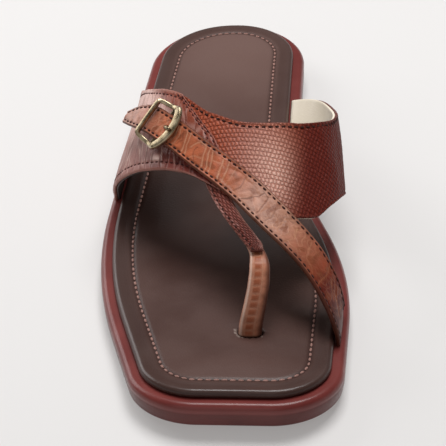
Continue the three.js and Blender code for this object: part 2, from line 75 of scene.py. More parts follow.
def smoothColumn(rows, value):
    # monotone cubic through one column of a table, against its first column
    xs = np.array([row[0] for row in rows], float)
    ys = np.array([row[value] for row in rows], float)
    steps = np.diff(xs)
    slopes = np.diff(ys) / steps
    tangents = np.zeros(len(xs))
    tangents[0] = slopes[0]
    tangents[-1] = slopes[-1]
    for i in range(1, len(xs) - 1):
        if slopes[i - 1] * slopes[i] > 0:
            a = 2 * steps[i] + steps[i - 1]
            b = steps[i] + 2 * steps[i - 1]
            tangents[i] = (a + b) / (a / slopes[i - 1] + b / slopes[i])

    def at(x):
        x = np.clip(np.asarray(x, float), xs[0], xs[-1])
        i = np.clip(np.searchsorted(xs, x, side="right") - 1, 0, len(xs) - 2)
        q = (x - xs[i]) / steps[i]
        return cubicBetween(q, steps[i], ys[i], ys[i + 1], tangents[i], tangents[i + 1])
    return at


def smoothColumns(rows):
    return [smoothColumn(rows, value) for value in range(1, len(rows[0]))]


def smoothStep(low, high, x):
    q = np.clip((np.asarray(x, float) - low) / (high - low), 0, 1)
    return q * q * (3 - 2 * q)


def bell(x, width):
    return np.exp(-(np.asarray(x, float) / width) ** 2)


def within(rise, fall, x):
    # 1 between a rise and a fall
    return smoothStep(*rise, x) * smoothStep(*fall, x)


def roundOff(x, least=0.0):
    # quarter of a circle, from 0 at 0 up to 1 at 1
    return np.sqrt(np.clip(1 - (1 - np.clip(x, least, 1)) ** 2, 0, 1))


def unit(vectors):
    return vectors / np.maximum(np.linalg.norm(vectors, axis=-1, keepdims=True), 1e-9)


def lengthsAlong(points):
    gaps = np.linalg.norm(np.diff(points, axis=0), axis=1)
    return np.concatenate([[0], np.cumsum(gaps)])


def readAlong(wanted, at, data):
    # columns of data, known at some lengths, read at the wanted ones
    return np.stack([np.interp(wanted, at, column) for column in data.T], -1)


def throughPoints(points, wanted):
    # smooth line through points, read at the wanted lengths along them
    at = lengthsAlong(points)
    i = np.clip(np.searchsorted(at, wanted, side="right") - 1, 0, len(at) - 2)
    tangents = np.gradient(points, at, axis=0)
    step = (at[i + 1] - at[i])[:, None]
    q = (wanted - at[i])[:, None] / step
    return cubicBetween(q, step, points[i], points[i + 1], tangents[i], tangents[i + 1])


treadAt, ledgeAt = smoothColumns(slipper["sideView"])


def place(x, s, z):
    x, s, z = np.broadcast_arrays(*(np.asarray(v, float) for v in (x, s, z)))
    return np.stack([x - slipper["originX"], slipper["originStation"] - s, z], axis=-1)


def planOf(points):
    # x and station of placed points
    return points[:, 0] + slipper["originX"], slipper["originStation"] - points[:, 1]


# Plan outline

def outlineRing():
    # points of the outline and their inward directions,
    # from the heel's back along the outer side to the toe and back along the inner side
    corners = np.array([corner[:2] for corner in slipper["corners"]], float)
    rows = []
    for i, corner in enumerate(corners):
        radius = slipper["corners"][i][2]
        back = unit(corners[i - 1] - corner)
        on = unit(corners[(i + 1) % len(corners)] - corner)
        half = math.acos(back @ on) / 2
        centre = corner + unit(back + on) * radius / math.sin(half)
        reach = radius / math.tan(half)
        start = corner + back * reach - centre
        end = corner + on * reach - centre
        startAngle = math.atan2(start[1], start[0])
        swing = (math.atan2(end[1], end[0]) - startAngle + math.pi) % (2 * math.pi) - math.pi
        angles = startAngle + swing * np.linspace(0, 1, slipper["cornerSteps"])
        spokes = np.stack([np.cos(angles), np.sin(angles)], 1)
        rows.append(np.concatenate([centre + spokes * radius, spokes * (-1 if swing < 0 else 1)], 1))
    rows = np.concatenate(rows)
    rows = np.roll(rows, -int(np.argmin(rows[:, 1])), axis=0)
    toe = int(np.argmax(rows[:, 1]))
    rows = np.concatenate([rows, rows[:1]])
    sides = []
    for side in (rows[:toe + 1], rows[toe:]):
        at = lengthsAlong(side[:, :2])
        wanted = np.linspace(0, at[-1], slipper["ringHalf"] + 1)[:-1]
        sides.append(readAlong(wanted, at, side))
    ring = np.concatenate(sides)
    return ring[:, :2], unit(ring[:, 2:])


ringPoints, ringInward = outlineRing()
ringCount = len(ringPoints)


def planRing(inset):
    return ringPoints + ringInward * inset


def ringAt(inset, heightAt):
    # the outline set in, at the heights given for x and station
    x, s = planRing(inset).T
    return place(x, s, heightAt(x, s))


# Meshes from grids of points

def ringFaces(rows, columns, closed=False):
    # between rows of closed sections; closed joins the last row to the first
    i = np.arange(rows if closed else rows - 1)[:, None]
    j = np.arange(columns)
    row, nextRow = i * columns, (i + 1) % rows * columns
    nextColumn = (j + 1) % columns
    corners = [row + j, nextRow + j, nextRow + nextColumn, row + nextColumn]
    return np.stack(corners, -1).reshape(-1, 4).tolist()


def tubeFaces(rows, columns):
    # a row of closed sections with both ends capped
    ends = [list(range(columns)), list(range((rows - 1) * columns, rows * columns))]
    return ringFaces(rows, columns) + ends


def ladderFaces(first, start, steps):
    # the inside of an outline ring closed by cross lines: ring ids from first, inner points from start
    half = ringCount // 2
    ids = np.zeros((half + 1, steps + 1), int)
    for i in range(half + 1):
        ids[i, 0] = first + i
        ids[i, -1] = first + (ringCount - i) % ringCount
        if 0 < i < half:
            ids[i, 1:-1] = start + (i - 1) * (steps - 1) + np.arange(steps - 1)
    for i in (0, half):
        ids[i, :] = ids[i, 0]
    ids = ids.tolist()
    faces = []
    for i in range(half):
        for j in range(steps):
            corners = [ids[i][j], ids[i + 1][j], ids[i + 1][j + 1], ids[i][j + 1]]
            kept = [c for n, c in enumerate(corners) if c != corners[n - 1]]
            if len(set(kept)) == len(kept) and len(kept) > 2:
                faces.append(kept)
    return faces


def ladderPoints(ring, steps):
    half = ringCount // 2
    share = np.linspace(0, 1, steps + 1)[None, 1:-1, None]
    left = ring[1:half, None]
    right = ring[::-1][:half - 1, None]
    return (left * (1 - share) + right * share).reshape(-1, 3)


def newObject(name, data):
    made = bpy.data.objects.new(name, data)
    bpy.context.scene.collection.objects.link(made)
    return made


def addValues(mesh, values):
    # one number for each point, or a vector where the last axis has three
    for key, data in values.items():
        data = np.asarray(data, float)
        kind, field = ("FLOAT_VECTOR", "vector") if data.shape[-1] == 3 else ("FLOAT", "value")
        mesh.attributes.new(key, kind, "POINT").data.foreach_set(field, data.ravel())


def newPiece(name, points, faces, finish, values):
    # a piece from millimetre points, with values per point for its finish
    mesh = bpy.data.meshes.new(name)
    mesh.from_pydata((points.reshape(-1, 3) * mm).tolist(), [], faces)
    mesh.update()
    addValues(mesh, values)
    mesh.materials.append(finish)
    mesh.polygons.foreach_set("use_smooth", [True] * len(mesh.polygons))
    work = bmesh.new()
    work.from_mesh(mesh)
    bmesh.ops.recalc_face_normals(work, faces=work.faces)
    work.to_mesh(mesh)
    work.free()
    return newObject(name, mesh)


def cutAtLedge(piece, station, clear):
    # takes away what lies below the ledge and closes the cut
    level = (float(ledgeAt(station)) + clear) * mm
    work = bmesh.new()
    work.from_mesh(piece.data)
    cut = bmesh.ops.bisect_plane(
        work, geom=work.verts[:] + work.edges[:] + work.faces[:],
        plane_co=(0, 0, level), plane_no=(0, 0, -1), clear_outer=True,
    )
    rim = [item for item in cut["geom_cut"] if isinstance(item, bmesh.types.BMEdge)]
    bmesh.ops.holes_fill(work, edges=rim)
    work.to_mesh(piece.data)
    work.free()


def settle(piece, slotName, *nodes):
    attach(piece, "root")
    if nodes:
        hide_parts(*nodes)
    print("piece", piece.name, len(piece.data.polygons), "faces")


# The form of the foot that the upper follows: t runs over it from the outer side (0) to the inner one (1)

form = {
    "innerInset": 2.7,
    "sideStations": (30, 262),      # where the plan outline gives the sides
    "probe": (0.002, 0.2),          # steps of t and station that give the outward direction
    "footShare": 0.02,              # the t next to a foot that gives the direction below the ledge
    "footRun": 100.0,               # length of a whole t below the ledge
    "flatGrid": ((-0.02, 1.02, 261), (55, 260, 83)),
    # station, crest x, crest height, outer inset, outer lean, inner flare
    "sections": [
        (40, -6, 118, 1, 14, 36), (70, -3, 106, 1, 15, 37), (100, 1, 93, 1, 15, 38),
        (120, 3.8, 83.7, 1.2, 12, 37.5), (140, 6, 74, 1.7, 6.5, 36), (150, 7, 69, 1.9, 3.5, 34),
        (170, 9, 59, 2, 0.5, 26), (190, 11, 50, 2, -1, 16), (210, 13, 42, 2, -1, 8),
        (233, 15, 34, 2, 0, 3), (255, 15, 28, 2, 0, 2),
    ],
    "outerSide": {"kneeRise": 0.55, "shoulder": 0.5},
    "innerSide": {"kneeRise": 0.48, "shoulder": 0.55, "spread": 0.62},
}


def sideOf(points):
    first, last = form["sideStations"]
    stations, xs = zip(*sorted((s, x) for x, s in points if first < s < last))
    return lambda s: np.interp(s, stations, xs)


soleOuterX = sideOf(planRing(0)[:ringCount // 2])
innerX = sideOf(planRing(form["innerInset"])[ringCount // 2:])
crestX, crestZ, outerInset, leanAt, flareAt = smoothColumns(form["sections"])


def onForm(t, s):
    t, s = np.broadcast_arrays(np.asarray(t, float), np.asarray(s, float))
    outerSide, innerSide = form["outerSide"], form["innerSide"]
    outer = t < 0.5
    top = crestZ(s)
    foot = np.where(outer, soleOuterX(s) + outerInset(s), innerX(s))
    reach = crestX(s) - foot
    q = np.clip(np.where(outer, 2 * t, 2 - 2 * t), 0, 1)
    knee = np.where(outer, leanAt(s), flareAt(s))
    kneeRise = top * np.where(outer, outerSide["kneeRise"], innerSide["kneeRise"])
    shoulder = np.where(
        outer,
        crestX(s) - outerSide["shoulder"] * reach,
        crestX(s) - innerSide["shoulder"] * reach + innerSide["spread"] * flareAt(s),
    )
    a, b, c, d = (1 - q) ** 3, 3 * (1 - q) ** 2 * q, 3 * (1 - q) * q * q, q**3
    x = a * foot + b * (foot + knee) + c * shoulder + d * crestX(s)
    z = b * kneeRise + c * top + d * top
    return place(x, s, ledgeAt(s) + z)


def formOut(t, s):
    stepT, stepS = form["probe"]
    across = onForm(np.minimum(t + stepT, 1), s) - onForm(np.maximum(t - stepT, 0), s)
    along = onForm(t, s - stepS) - onForm(t, s + stepS)
    return unit(np.cross(across, along))


def offForm(t, s, height):
    # a point off the form; beyond either foot it runs straight on below the ledge
    t, s, height = np.broadcast_arrays(*(np.asarray(v, float) for v in (t, s, height)))
    inside = np.clip(t, 0, 1)
    point = onForm(inside, s)
    nearFoot = np.where(inside < 0.5, form["footShare"], 1 - form["footShare"])
    towards = unit(point - onForm(nearFoot, s))
    point = point + towards * (np.abs(t - inside) * form["footRun"])[..., None]
    return point + formOut(inside, s) * height[..., None]


def layOut(t, s):
    # millimetres over the form from the crest, for patterns that follow the leather
    ts, stations = (np.linspace(*row) for row in form["flatGrid"])
    grid = onForm(np.clip(ts, 0, 1)[:, None], stations)
    steps = np.linalg.norm(np.diff(grid, axis=0), axis=-1)
    run = np.concatenate([np.zeros((1, len(stations))), np.cumsum(steps, axis=0)])
    run = run - run[np.argmin(np.abs(ts - 0.5))]
    i, j = (
        np.clip((np.asarray(value) - row[0]) / (row[1] - row[0]), 0, len(row) - 1.001)
        for value, row in ((t, ts), (s, stations))
    )
    a, b = np.floor(i).astype(int), np.floor(j).astype(int)
    u, v = i - a, j - b
    near = run[a, b] * (1 - u) + run[a + 1, b] * u
    far = run[a, b + 1] * (1 - u) + run[a + 1, b + 1] * u
    return near * (1 - v) + far * v


# Shader helpers

def feed(tree, made, inputs):
    # links the sockets among the inputs and sets the other values
    for key, value in inputs.items():
        if isinstance(value, bpy.types.NodeSocket):
            tree.links.new(value, made.inputs[key])
        else:
            made.inputs[key].default_value = value


def node(tree, kind, settings=None, inputs=None):
    made = tree.nodes.new(kind)
    for key, value in (settings or {}).items():
        setattr(made, key, value)
    feed(tree, made, inputs or {})
    return made


def mixed(tree, factor, first, second, blend="MIX"):
    # two colours, each a socket or its red, green and blue
    first, second = (colour + (1,) if isinstance(colour, tuple) else colour for colour in (first, second))
    settings = {"data_type": "RGBA", "blend_type": blend}
    return node(tree, "ShaderNodeMix", settings, {0: factor, 6: first, 7: second}).outputs[2]


def maths(tree, operation, first, second):
    return node(tree, "ShaderNodeMath", {"operation": operation}, {0: first, 1: second}).outputs[0]


def ranged(tree, value, low, high, toLow=0.0, toHigh=1.0):
    made = node(
        tree, "ShaderNodeMapRange", {"interpolation_type": "SMOOTHSTEP"},
        {0: value, 1: low, 2: high, 3: toLow, 4: toHigh},
    )
    return made.outputs[0]


def noise(tree, spot, scale, detail):
    inputs = {"Vector": spot, "Scale": scale, "Detail": detail}
    return node(tree, "ShaderNodeTexNoise", None, inputs).outputs["Fac"]


def pointValue(tree, name, vector=False):
    made = node(tree, "ShaderNodeAttribute", {"attribute_type": "GEOMETRY", "attribute_name": name})
    return made.outputs["Vector" if vector else "Fac"]


def objectPlace(tree):
    return node(tree, "ShaderNodeTexCoord").outputs["Object"]


def bumped(tree, height, distance):
    inputs = {"Strength": 1.0, "Distance": distance, "Height": height}
    return node(tree, "ShaderNodeBump", None, inputs).outputs["Normal"]


def effectGroup(name, vectorInput, floatInputs, outputs):
    tree = bpy.data.node_groups.new(name, "ShaderNodeTree")
    tree.interface.new_socket(name=vectorInput, in_out="INPUT", socket_type="NodeSocketVector")
    for key, value in floatInputs.items():
        socket = tree.interface.new_socket(name=key, in_out="INPUT", socket_type="NodeSocketFloat")
        socket.default_value = value
    for key in outputs:
        tree.interface.new_socket(name=key, in_out="OUTPUT", socket_type="NodeSocketFloat")
    return tree, node(tree, "NodeGroupInput").outputs, node(tree, "NodeGroupOutput")


def useEffect(tree, group, inputs):
    return node(tree, "ShaderNodeGroup", {"node_tree": group}, inputs).outputs


def newFinish(name):
    finish = bpy.data.materials.new(name)
    finish.use_nodes = True
    return finish, finish.node_tree


def dressed(finish, sockets):
    tree = finish.node_tree
    feed(tree, tree.nodes["Principled BSDF"], sockets)
    return finish


# Finishes that several pieces share

beads = {
    "across": 1.7,      # width of a small scale
    "along": 2.2,       # from row to row
    "valley": 0.72,     # from a scale's edge to its crown
    "height": 0.14,
    # how the rows stray across and along: reach, size of the waves, seed
    "strayAcross": [(0.45, 4.0, 91), (0.5, 1.5, 93)],
    "strayAlong": [(0.45, 4.0, 92), (0.5, 1.5, 94)],
}
mottleTint = (0.74, 0.66, 0.62)
# two tones of each thread's twist
threads = {
    "tanThread": ((0.24, 0.11, 0.092), (0.43, 0.26, 0.22)),
    "darkThread": ((0.028, 0.008, 0.006), (0.055, 0.016, 0.012)),
    "redThread": ((0.05, 0.011, 0.009), (0.1, 0.022, 0.018)),
}


def grainGroup():
    # fine pores and a slow mottle for every leather
    tree, given, out = effectGroup(
        "leatherGrain", "Place", {"Pores": 1500.0, "Mottle": 60.0}, ["Height", "Cloud"])
    pores = node(tree, "ShaderNodeTexVoronoi", {"feature": "SMOOTH_F1"}, {
        "Vector": given["Place"], "Scale": given["Pores"], "Smoothness": 0.6,
    })
    fibres = noise(tree, given["Place"], given["Pores"], 3.0)
    cloud = noise(tree, given["Place"], given["Mottle"], 4.0)
    feed(tree, out, {
        "Height": maths(tree, "ADD", pores.outputs["Distance"], fibres),
        "Cloud": ranged(tree, cloud, 0.3, 0.7),
    })
    return tree


def beadGroup():
    # rows of small raised scales, every other row set over by half a scale, in the piece's own millimetres
    tree, given, out = effectGroup(
        "beadScales", "Lay", {"Across": 1.0, "Along": 1.0, "Valley": 0.5}, ["Height", "Crown"])
    scales = node(tree, "ShaderNodeTexBrick", {"offset": 0.5, "offset_frequency": 2}, {
        "Vector": given["Lay"], "Scale": 1.0, "Brick Width": given["Across"], "Row Height": given["Along"],
        "Mortar Size": given["Valley"], "Mortar Smooth": 1.0,
    })
    feed(tree, out, {
        "Height": ranged(tree, scales.outputs["Fac"], 1.0, 0.0),
        "Crown": ranged(tree, scales.outputs["Fac"], 1.0, 0.3),
    })
    return tree


leatherGrain = grainGroup()
beadScales = beadGroup()


def grainOf(tree, pores, mottle):
    return useEffect(tree, leatherGrain, {"Place": objectPlace(tree), "Pores": pores, "Mottle": mottle})


def beadFinish(name, colours, sheen):
    finish, tree = newFinish(name)
    grain = grainOf(tree, 2200.0, 55.0)
    scales = useEffect(tree, beadScales, {
        "Lay": pointValue(tree, "lay", True),
        "Across": beads["across"], "Along": beads["along"], "Valley": beads["valley"],
    })
    crown = scales["Crown"]
    low = mixed(tree, grain["Cloud"], colours["valley"], colours["valleyWarm"])
    high = mixed(tree, grain["Cloud"], colours["crown"], colours["crownWarm"])
    skin = mixed(tree, crown, low, high)
    # painted sheen on the band, pale wear with painted highlight on the tongue; then shade
    for mask, lowName in (("sheenAndWear", "sheenAndWearLow"), ("shade", "deep")):
        worn = mixed(tree, crown, colours[lowName], colours[mask])
        skin = mixed(tree, pointValue(tree, mask), skin, worn)
    height = maths(tree, "ADD", scales["Height"], maths(tree, "MULTIPLY", grain["Height"], 0.09))
    return dressed(finish, {
        "Base Color": mixed(tree, pointValue(tree, "edge"), skin, colours["edge"]),
        "Roughness": ranged(tree, crown, 0.0, 1.0, 0.55, 0.34),
        "Normal": bumped(tree, height, 0.00026),
        "Specular IOR Level": 0.06, "Coat Weight": sheen, "Coat Roughness": 0.22,
    })


def crocFinish(name, sheen):
    # the colour comes with the piece; pores and a slow mottle are added here
    finish, tree = newFinish(name)
    grain = grainOf(tree, 1900.0, 160.0)
    mottle = maths(tree, "MULTIPLY", grain["Cloud"], 0.5)
    return dressed(finish, {
        "Base Color": mixed(tree, mottle, pointValue(tree, "skin", True), mottleTint, "MULTIPLY"),
        "Roughness": ranged(tree, grain["Cloud"], 0.0, 1.0, 0.34, 0.48),
        "Normal": bumped(tree, grain["Height"], 0.00007),
        "Specular IOR Level": 0.08, "Coat Weight": sheen, "Coat Roughness": 0.22,
    })


def threadFinish(name):
    finish, tree = newFinish(name)
    inputs = {"Vector": objectPlace(tree), "Scale": 900.0, "Distortion": 1.0}
    twist = node(tree, "ShaderNodeTexWave", None, inputs).outputs["Fac"]
    return dressed(finish, {
        "Base Color": mixed(tree, twist, *threads[name]), "Normal": bumped(tree, twist, 0.00008),
        "Roughness": 0.6, "Specular IOR Level": 0.15,
    })


threadFinishes = {name: threadFinish(name) for name in threads}


# Stitches

stitch = {
    "segments": 10,
    "rings": 6,
    # least and most of the uneven length, width and height
    "least": (0.9, 0.88, 0.85),
    "most": (1.08, 1.1, 1.12),
    "probe": 0.3,       # before and behind a stitch, for its direction
}


def stitchTree():
    tree = bpy.data.node_groups.new("stitchRow", "GeometryNodeTree")
    for key, kind in (
        ("Places", "Geometry"), ("Length", "Float"), ("Width", "Float"), ("Height", "Float"),
        ("Seed", "Int"), ("Thread", "Material"),
    ):
        tree.interface.new_socket(name=key, in_out="INPUT", socket_type="NodeSocket" + kind)
    tree.interface.new_socket(name="Stitches", in_out="OUTPUT", socket_type="NodeSocketGeometry")
    given = node(tree, "NodeGroupInput").outputs
    out = node(tree, "NodeGroupOutput")
    bead = node(tree, "GeometryNodeMeshUVSphere", None, {
        "Segments": stitch["segments"], "Rings": stitch["rings"], "Radius": 0.5,
    })
    size = node(tree, "ShaderNodeCombineXYZ", None, {
        0: given["Length"], 1: given["Width"], 2: given["Height"],
    })
    shaped = node(tree, "GeometryNodeTransform", None, {
        "Geometry": bead.outputs["Mesh"], "Scale": size.outputs[0],
    })
    runs, lifts = (
        node(tree, "GeometryNodeInputNamedAttribute", {"data_type": "FLOAT_VECTOR"}, {"Name": name})
        for name in ("runs", "lifts")
    )
    along = node(tree, "FunctionNodeAlignRotationToVector", {"axis": "X"}, {"Vector": runs.outputs[0]})
    upright = node(tree, "FunctionNodeAlignRotationToVector", {"axis": "Z", "pivot_axis": "X"}, {
        "Rotation": along.outputs[0], "Vector": lifts.outputs[0],
    })
    uneven = node(tree, "FunctionNodeRandomValue", {"data_type": "FLOAT_VECTOR"}, {
        0: stitch["least"], 1: stitch["most"], "Seed": given["Seed"],
    })
    placed = node(tree, "GeometryNodeInstanceOnPoints", None, {
        "Points": given["Places"], "Instance": shaped.outputs[0],
        "Rotation": upright.outputs[0], "Scale": uneven.outputs[0],
    })
    real = node(tree, "GeometryNodeRealizeInstances", None, {0: placed.outputs[0]})
    smooth = node(tree, "GeometryNodeSetShadeSmooth", None, {0: real.outputs[0]})
    threaded = node(tree, "GeometryNodeSetMaterial", None, {
        "Geometry": smooth.outputs[0], "Material": given["Thread"],
    })
    feed(tree, out, {0: threaded.outputs[0]})
    return tree


stitchRow = stitchTree()


def alongRow(line, lifts, pitch, closed=False):
    # even stitch places on a line of points, with the direction of each and the way it stands up
    if closed:
        line = np.concatenate([line, line[:1]])
        lifts = np.concatenate([lifts, lifts[:1]])
    at = lengthsAlong(line)
    count = max(2, int(round(at[-1] / pitch)))
    wanted = np.linspace(0, at[-1], count, endpoint=not closed)
    ahead = readAlong(np.minimum(wanted + stitch["probe"], at[-1]), at, line)
    behind = readAlong(np.maximum(wanted - stitch["probe"], 0), at, line)
    return readAlong(wanted, at, line), unit(ahead - behind), unit(readAlong(wanted, at, lifts))


def rowOnForm(t, s, height, pitch):
    return alongRow(offForm(t, s, height), formOut(t, s), pitch)


def sewn(name, rows, thread, slotName, *nodes):
    points, runs, lifts = (np.concatenate(part) for part in zip(*rows))
    mesh = bpy.data.meshes.new(name + "Places")
    mesh.from_pydata((points * mm).tolist(), [], [])
    addValues(mesh, {"runs": runs, "lifts": lifts})
    holder = newObject(name + "Places", mesh)
    rowMaker = holder.modifiers.new("stitches", "NODES")
    rowMaker.node_group = stitchRow
    settings = {
        "Length": thread["length"] * mm, "Width": thread["width"] * mm, "Height": thread["height"] * mm,
        "Seed": thread["seed"], "Thread": threadFinishes[thread["finish"]],
    }
    for socket in stitchRow.interface.items_tree:
        if socket.in_out == "INPUT" and socket.name in settings:
            rowMaker[socket.identifier] = settings[socket.name]
    graph = bpy.context.evaluated_depsgraph_get()
    made = bpy.data.meshes.new_from_object(holder.evaluated_get(graph), depsgraph=graph)
    bpy.data.objects.remove(holder)
    made.name = name
    for key in ("runs", "lifts"):
        if key in made.attributes:
            made.attributes.remove(made.attributes[key])
    settle(newObject(name, made), slotName, *nodes)


# Patterns

def scaleCells(p, q, cells):
    # jittered cells, every other row set over by half a cell: the distance from the nearest crack,
    # in millimetres across the cells, and a number for each cell
    rng = np.random.default_rng(cells["seed"])
    length, width = cells["length"], cells["width"]
    lowQ = np.min(q)
    countP = int(np.ceil(np.max(p) / length)) + 6
    countQ = int(np.ceil((np.max(q) - lowQ) / width)) + 6
    jitter = rng.uniform(-1, 1, (countP, countQ, 2)) * cells["jitter"]
    tones = rng.uniform(0, 1, (countP, countQ))
    baseP = np.floor(p / length).astype(int)
    baseQ = np.floor((q - lowQ) / width).astype(int)
    nearFar = np.full(p.shape, 1e9)
    nextFar = np.full(p.shape, 1e9)
    nearSeed = np.zeros(p.shape + (2,))
    nextSeed = np.zeros(p.shape + (2,))
    tone = np.zeros(p.shape)
    for stepP in range(-2, 3):
        for stepQ in range(-2, 3):
            i = np.clip(baseP + stepP + 2, 0, countP - 1)
            j = np.clip(baseQ + stepQ + 2, 0, countQ - 1)
            seedP = (i - 1.5 + 0.5 * (j % 2) + jitter[i, j, 0]) * length
            seedQ = lowQ + (j - 1.5 + jitter[i, j, 1]) * width
            far = np.hypot(p - seedP, (q - seedQ) * length / width)
            seedAt = np.stack([seedP, seedQ * length / width], -1)
            nearer = far < nearFar
            second = ~nearer & (far < nextFar)
            nextFar = np.where(nearer, nearFar, np.where(second, far, nextFar))
            nextSeed = np.where(nearer[..., None], nearSeed, np.where(second[..., None], seedAt, nextSeed))
            nearFar = np.where(nearer, far, nearFar)
            nearSeed = np.where(nearer[..., None], seedAt, nearSeed)
            tone = np.where(nearer, tones[i, j], tone)
    apart = np.maximum(np.linalg.norm(nearSeed - nextSeed, axis=-1), 1e-6)
    return (nextFar**2 - nearFar**2) / (2 * apart) * width / length, tone


def softNoise(p, q, size, seed):
    # smooth gradient noise on a plane, about -0.7 to 0.7
    lattice = 64
    p, q = np.broadcast_arrays(np.asarray(p, float) / size, np.asarray(q, float) / size)
    angles = np.random.default_rng(seed).uniform(0, 2 * math.pi, (lattice, lattice))
    i, j = np.floor(p).astype(int), np.floor(q).astype(int)
    u, v = p - i, q - j

    def corner(m, n):
        angle = angles[(i + m) % lattice, (j + n) % lattice]
        return np.cos(angle) * (u - m) + np.sin(angle) * (v - n)

    a, b = smoothStep(0, 1, u), smoothStep(0, 1, v)
    low = corner(0, 0) * (1 - a) + corner(1, 0) * a
    high = corner(0, 1) * (1 - a) + corner(1, 1) * a
    return low * (1 - b) + high * b


def strays(p, q, rows):
    # noises added up: strength, size and seed of each
    return sum(strength * softNoise(p, q, size, seed) for strength, size, seed in rows)


def beadLay(across, along):
    # leather laid flat under its rows of small scales, which stray a little
    strayAcross, strayAlong = (strays(across, along, beads[key]) for key in ("strayAcross", "strayAlong"))
    return np.stack([across + strayAcross, along + strayAlong, np.zeros_like(across)], -1)


def beadRise(lay):
    # 0 in the valleys and 1 on the crowns of the small scales, where the finish has them too
    across, along = beads["across"], beads["along"]
    row = np.floor(lay[..., 1] / along)
    x = (lay[..., 0] + np.where(row % 2 == 0, across / 2, 0)) % across
    y = lay[..., 1] - row * along
    fromEdge = np.minimum(np.minimum(x, across - x), np.minimum(y, along - y))
    return smoothStep(0, beads["valley"], fromEdge)


def drawnLines(p, q, lines, width):
    # thin lines through given points: each has a strength and its points
    total = np.zeros(np.shape(p))
    for strength, points in lines:
        far = np.full(np.shape(p), 1e9)
        for (a, b), (c, d) in zip(points[:-1], points[1:]):
            share = ((p - a) * (c - a) + (q - b) * (d - b)) / ((c - a) ** 2 + (d - b) ** 2)
            share = np.clip(share, 0, 1)
            far = np.minimum(far, np.hypot(p - a - share * (c - a), q - b - share * (d - b)))
        total = np.maximum(total, strength * bell(far, width))
    return total


def painted(skin, colours, layers):
    # colours laid over each other in turn: name and amount of each
    for name, amount in layers:
        amount = np.clip(amount, 0, 1)[..., None]
        skin = skin * (1 - amount) + np.asarray(colours[name]) * amount
    return skin


def creases(p, q, rows):
    # soft folds: middle p and q, direction in degrees, half length, half width, height
    total = np.zeros(np.shape(p))
    for midP, midQ, turn, length, width, height in rows:
        c, s = math.cos(math.radians(turn)), math.sin(math.radians(turn))
        along = (p - midP) * c + (q - midQ) * s
        aside = (q - midQ) * c - (p - midP) * s
        total = total + height * bell(along, length) * bell(aside, width)
    return total


def patches(p, q, rows):
    # soft patches: middle p and q, reach along each, strength
    total = np.zeros(np.broadcast_shapes(np.shape(p), np.shape(q)))
    for midP, midQ, reachP, reachQ, strength in rows:
        total = np.maximum(total, strength * bell(p - midP, reachP) * bell(q - midQ, reachQ))
    return total


# Sole

soleUnit = {
    "bullnose": (2.9, 3.2),             # reach in and height of the round top edge
    "footEdge": (2.2, 1.6),             # reach in and height of the round lower edge
    "wallInsets": (0.6, 0.15, 0.12),    # at the lower edge, at the lower wall's end and at the groove
    "lowerWall": (0.06, 0.3, 5),        # shares of the wall's height, and rows
    "weltGroove": (4.4, 0.06, 0.4),     # below the top, depth, half height
    "grooveRows": (-1.6, 1.6, 9),       # in half heights, and rows
    "grooveFall": 2.2,
    "wallFade": 0.31,                   # of the wall's painted shade, for each half height of the groove
    "ledgeReach": 9.0,
    "treadSteps": 70,
    "treadPitch": 6.5,
    "treadDepth": 0.9,
    "treadBorder": 7.0,
    "treadWave": (2.2, 5.5),            # reach and length of the grooves' waves
    "treadSlope": (0.25, 0.75),
    "treadRunOut": 1.5,
    # tones of the lit rim, and of the wall and tread darkened as painted shade
    "rimTones": ((0.138, 0.0215, 0.0185), (0.18, 0.034, 0.029)),
    "wallTones": ((0.085, 0.0125, 0.0105), (0.115, 0.019, 0.016)),
}


def soleFinish():
    finish, tree = newFinish("oxbloodRubber")
    spot = objectPlace(tree)
    cloud = noise(tree, spot, 45.0, 4.0)
    fine = noise(tree, spot, 900.0, 2.0)
    rim = mixed(tree, ranged(tree, cloud, 0.3, 0.7), *soleUnit["rimTones"])
    wall = mixed(tree, ranged(tree, cloud, 0.35, 0.65), *soleUnit["wallTones"])
    return dressed(finish, {
        # painted shade on the wall and tread, laid over the rim's tones
        "Base Color": mixed(tree, pointValue(tree, "wallShade"), rim, wall),
        "Roughness": ranged(tree, fine, 0.25, 0.75, 0.34, 0.46),
        "Normal": bumped(tree, fine, 0.00006),
        "Specular IOR Level": 0.15, "Coat Weight": 0.42, "Coat Roughness": 0.27,
    })


def soleProfile():
    # from the tread's edge to the ledge: inset, share of the wall's height, rise, mask of the wall's
    # painted shade
    reach, high = soleUnit["footEdge"]
    lowest, upper, beside = soleUnit["wallInsets"]
    rows = []
    for angle in np.linspace(0, math.pi / 2, 7):
        rows.append((reach - (reach - lowest) * math.sin(angle), 0, high * (1 - math.cos(angle)), 1))
    wallEnd = soleUnit["lowerWall"][1]
    for share in np.linspace(*soleUnit["lowerWall"]):
        rows.append((lowest - (lowest - upper) * share / wallEnd, share, high * (1 - share), 1))
    down, depth, half = soleUnit["weltGroove"]
    for k in np.linspace(*soleUnit["grooveRows"]):
        cut = depth * math.exp(-(k**2) * soleUnit["grooveFall"])
        rows.append((beside + cut, 1, -down + k * half, 0.5 - soleUnit["wallFade"] * k))
    acrossNose, downNose = soleUnit["bullnose"]
    for angle in np.linspace(0, math.pi / 2, 12):
        rows.append((acrossNose * (1 - math.cos(angle)), 1, -downNose * (1 - math.sin(angle)), 0))
    rows.append((0.5 * (acrossNose + slipper["rim"]), 1, 0, 0))
    rows.append((soleUnit["ledgeReach"], 1, 0, 0))
    return rows


def treaded(points):
    # wavy grooves cut up into the tread, inside a plain border
    stations = planOf(points)[1]
    border = ringAt(soleUnit["treadBorder"], lambda x, s: 0)
    inside = np.array([np.min(np.hypot(*(border - point)[:, :2].T)) for point in points])
    reach, length = soleUnit["treadWave"]
    waves = (stations + reach * np.sin(points[:, 0] / length)) / soleUnit["treadPitch"]
    cut = smoothStep(*soleUnit["treadSlope"], np.sin(2 * math.pi * waves))
    cut = cut * smoothStep(0, soleUnit["treadRunOut"], inside)
    points[:, 2] = treadAt(stations) + soleUnit["treadDepth"] * cut
    return points


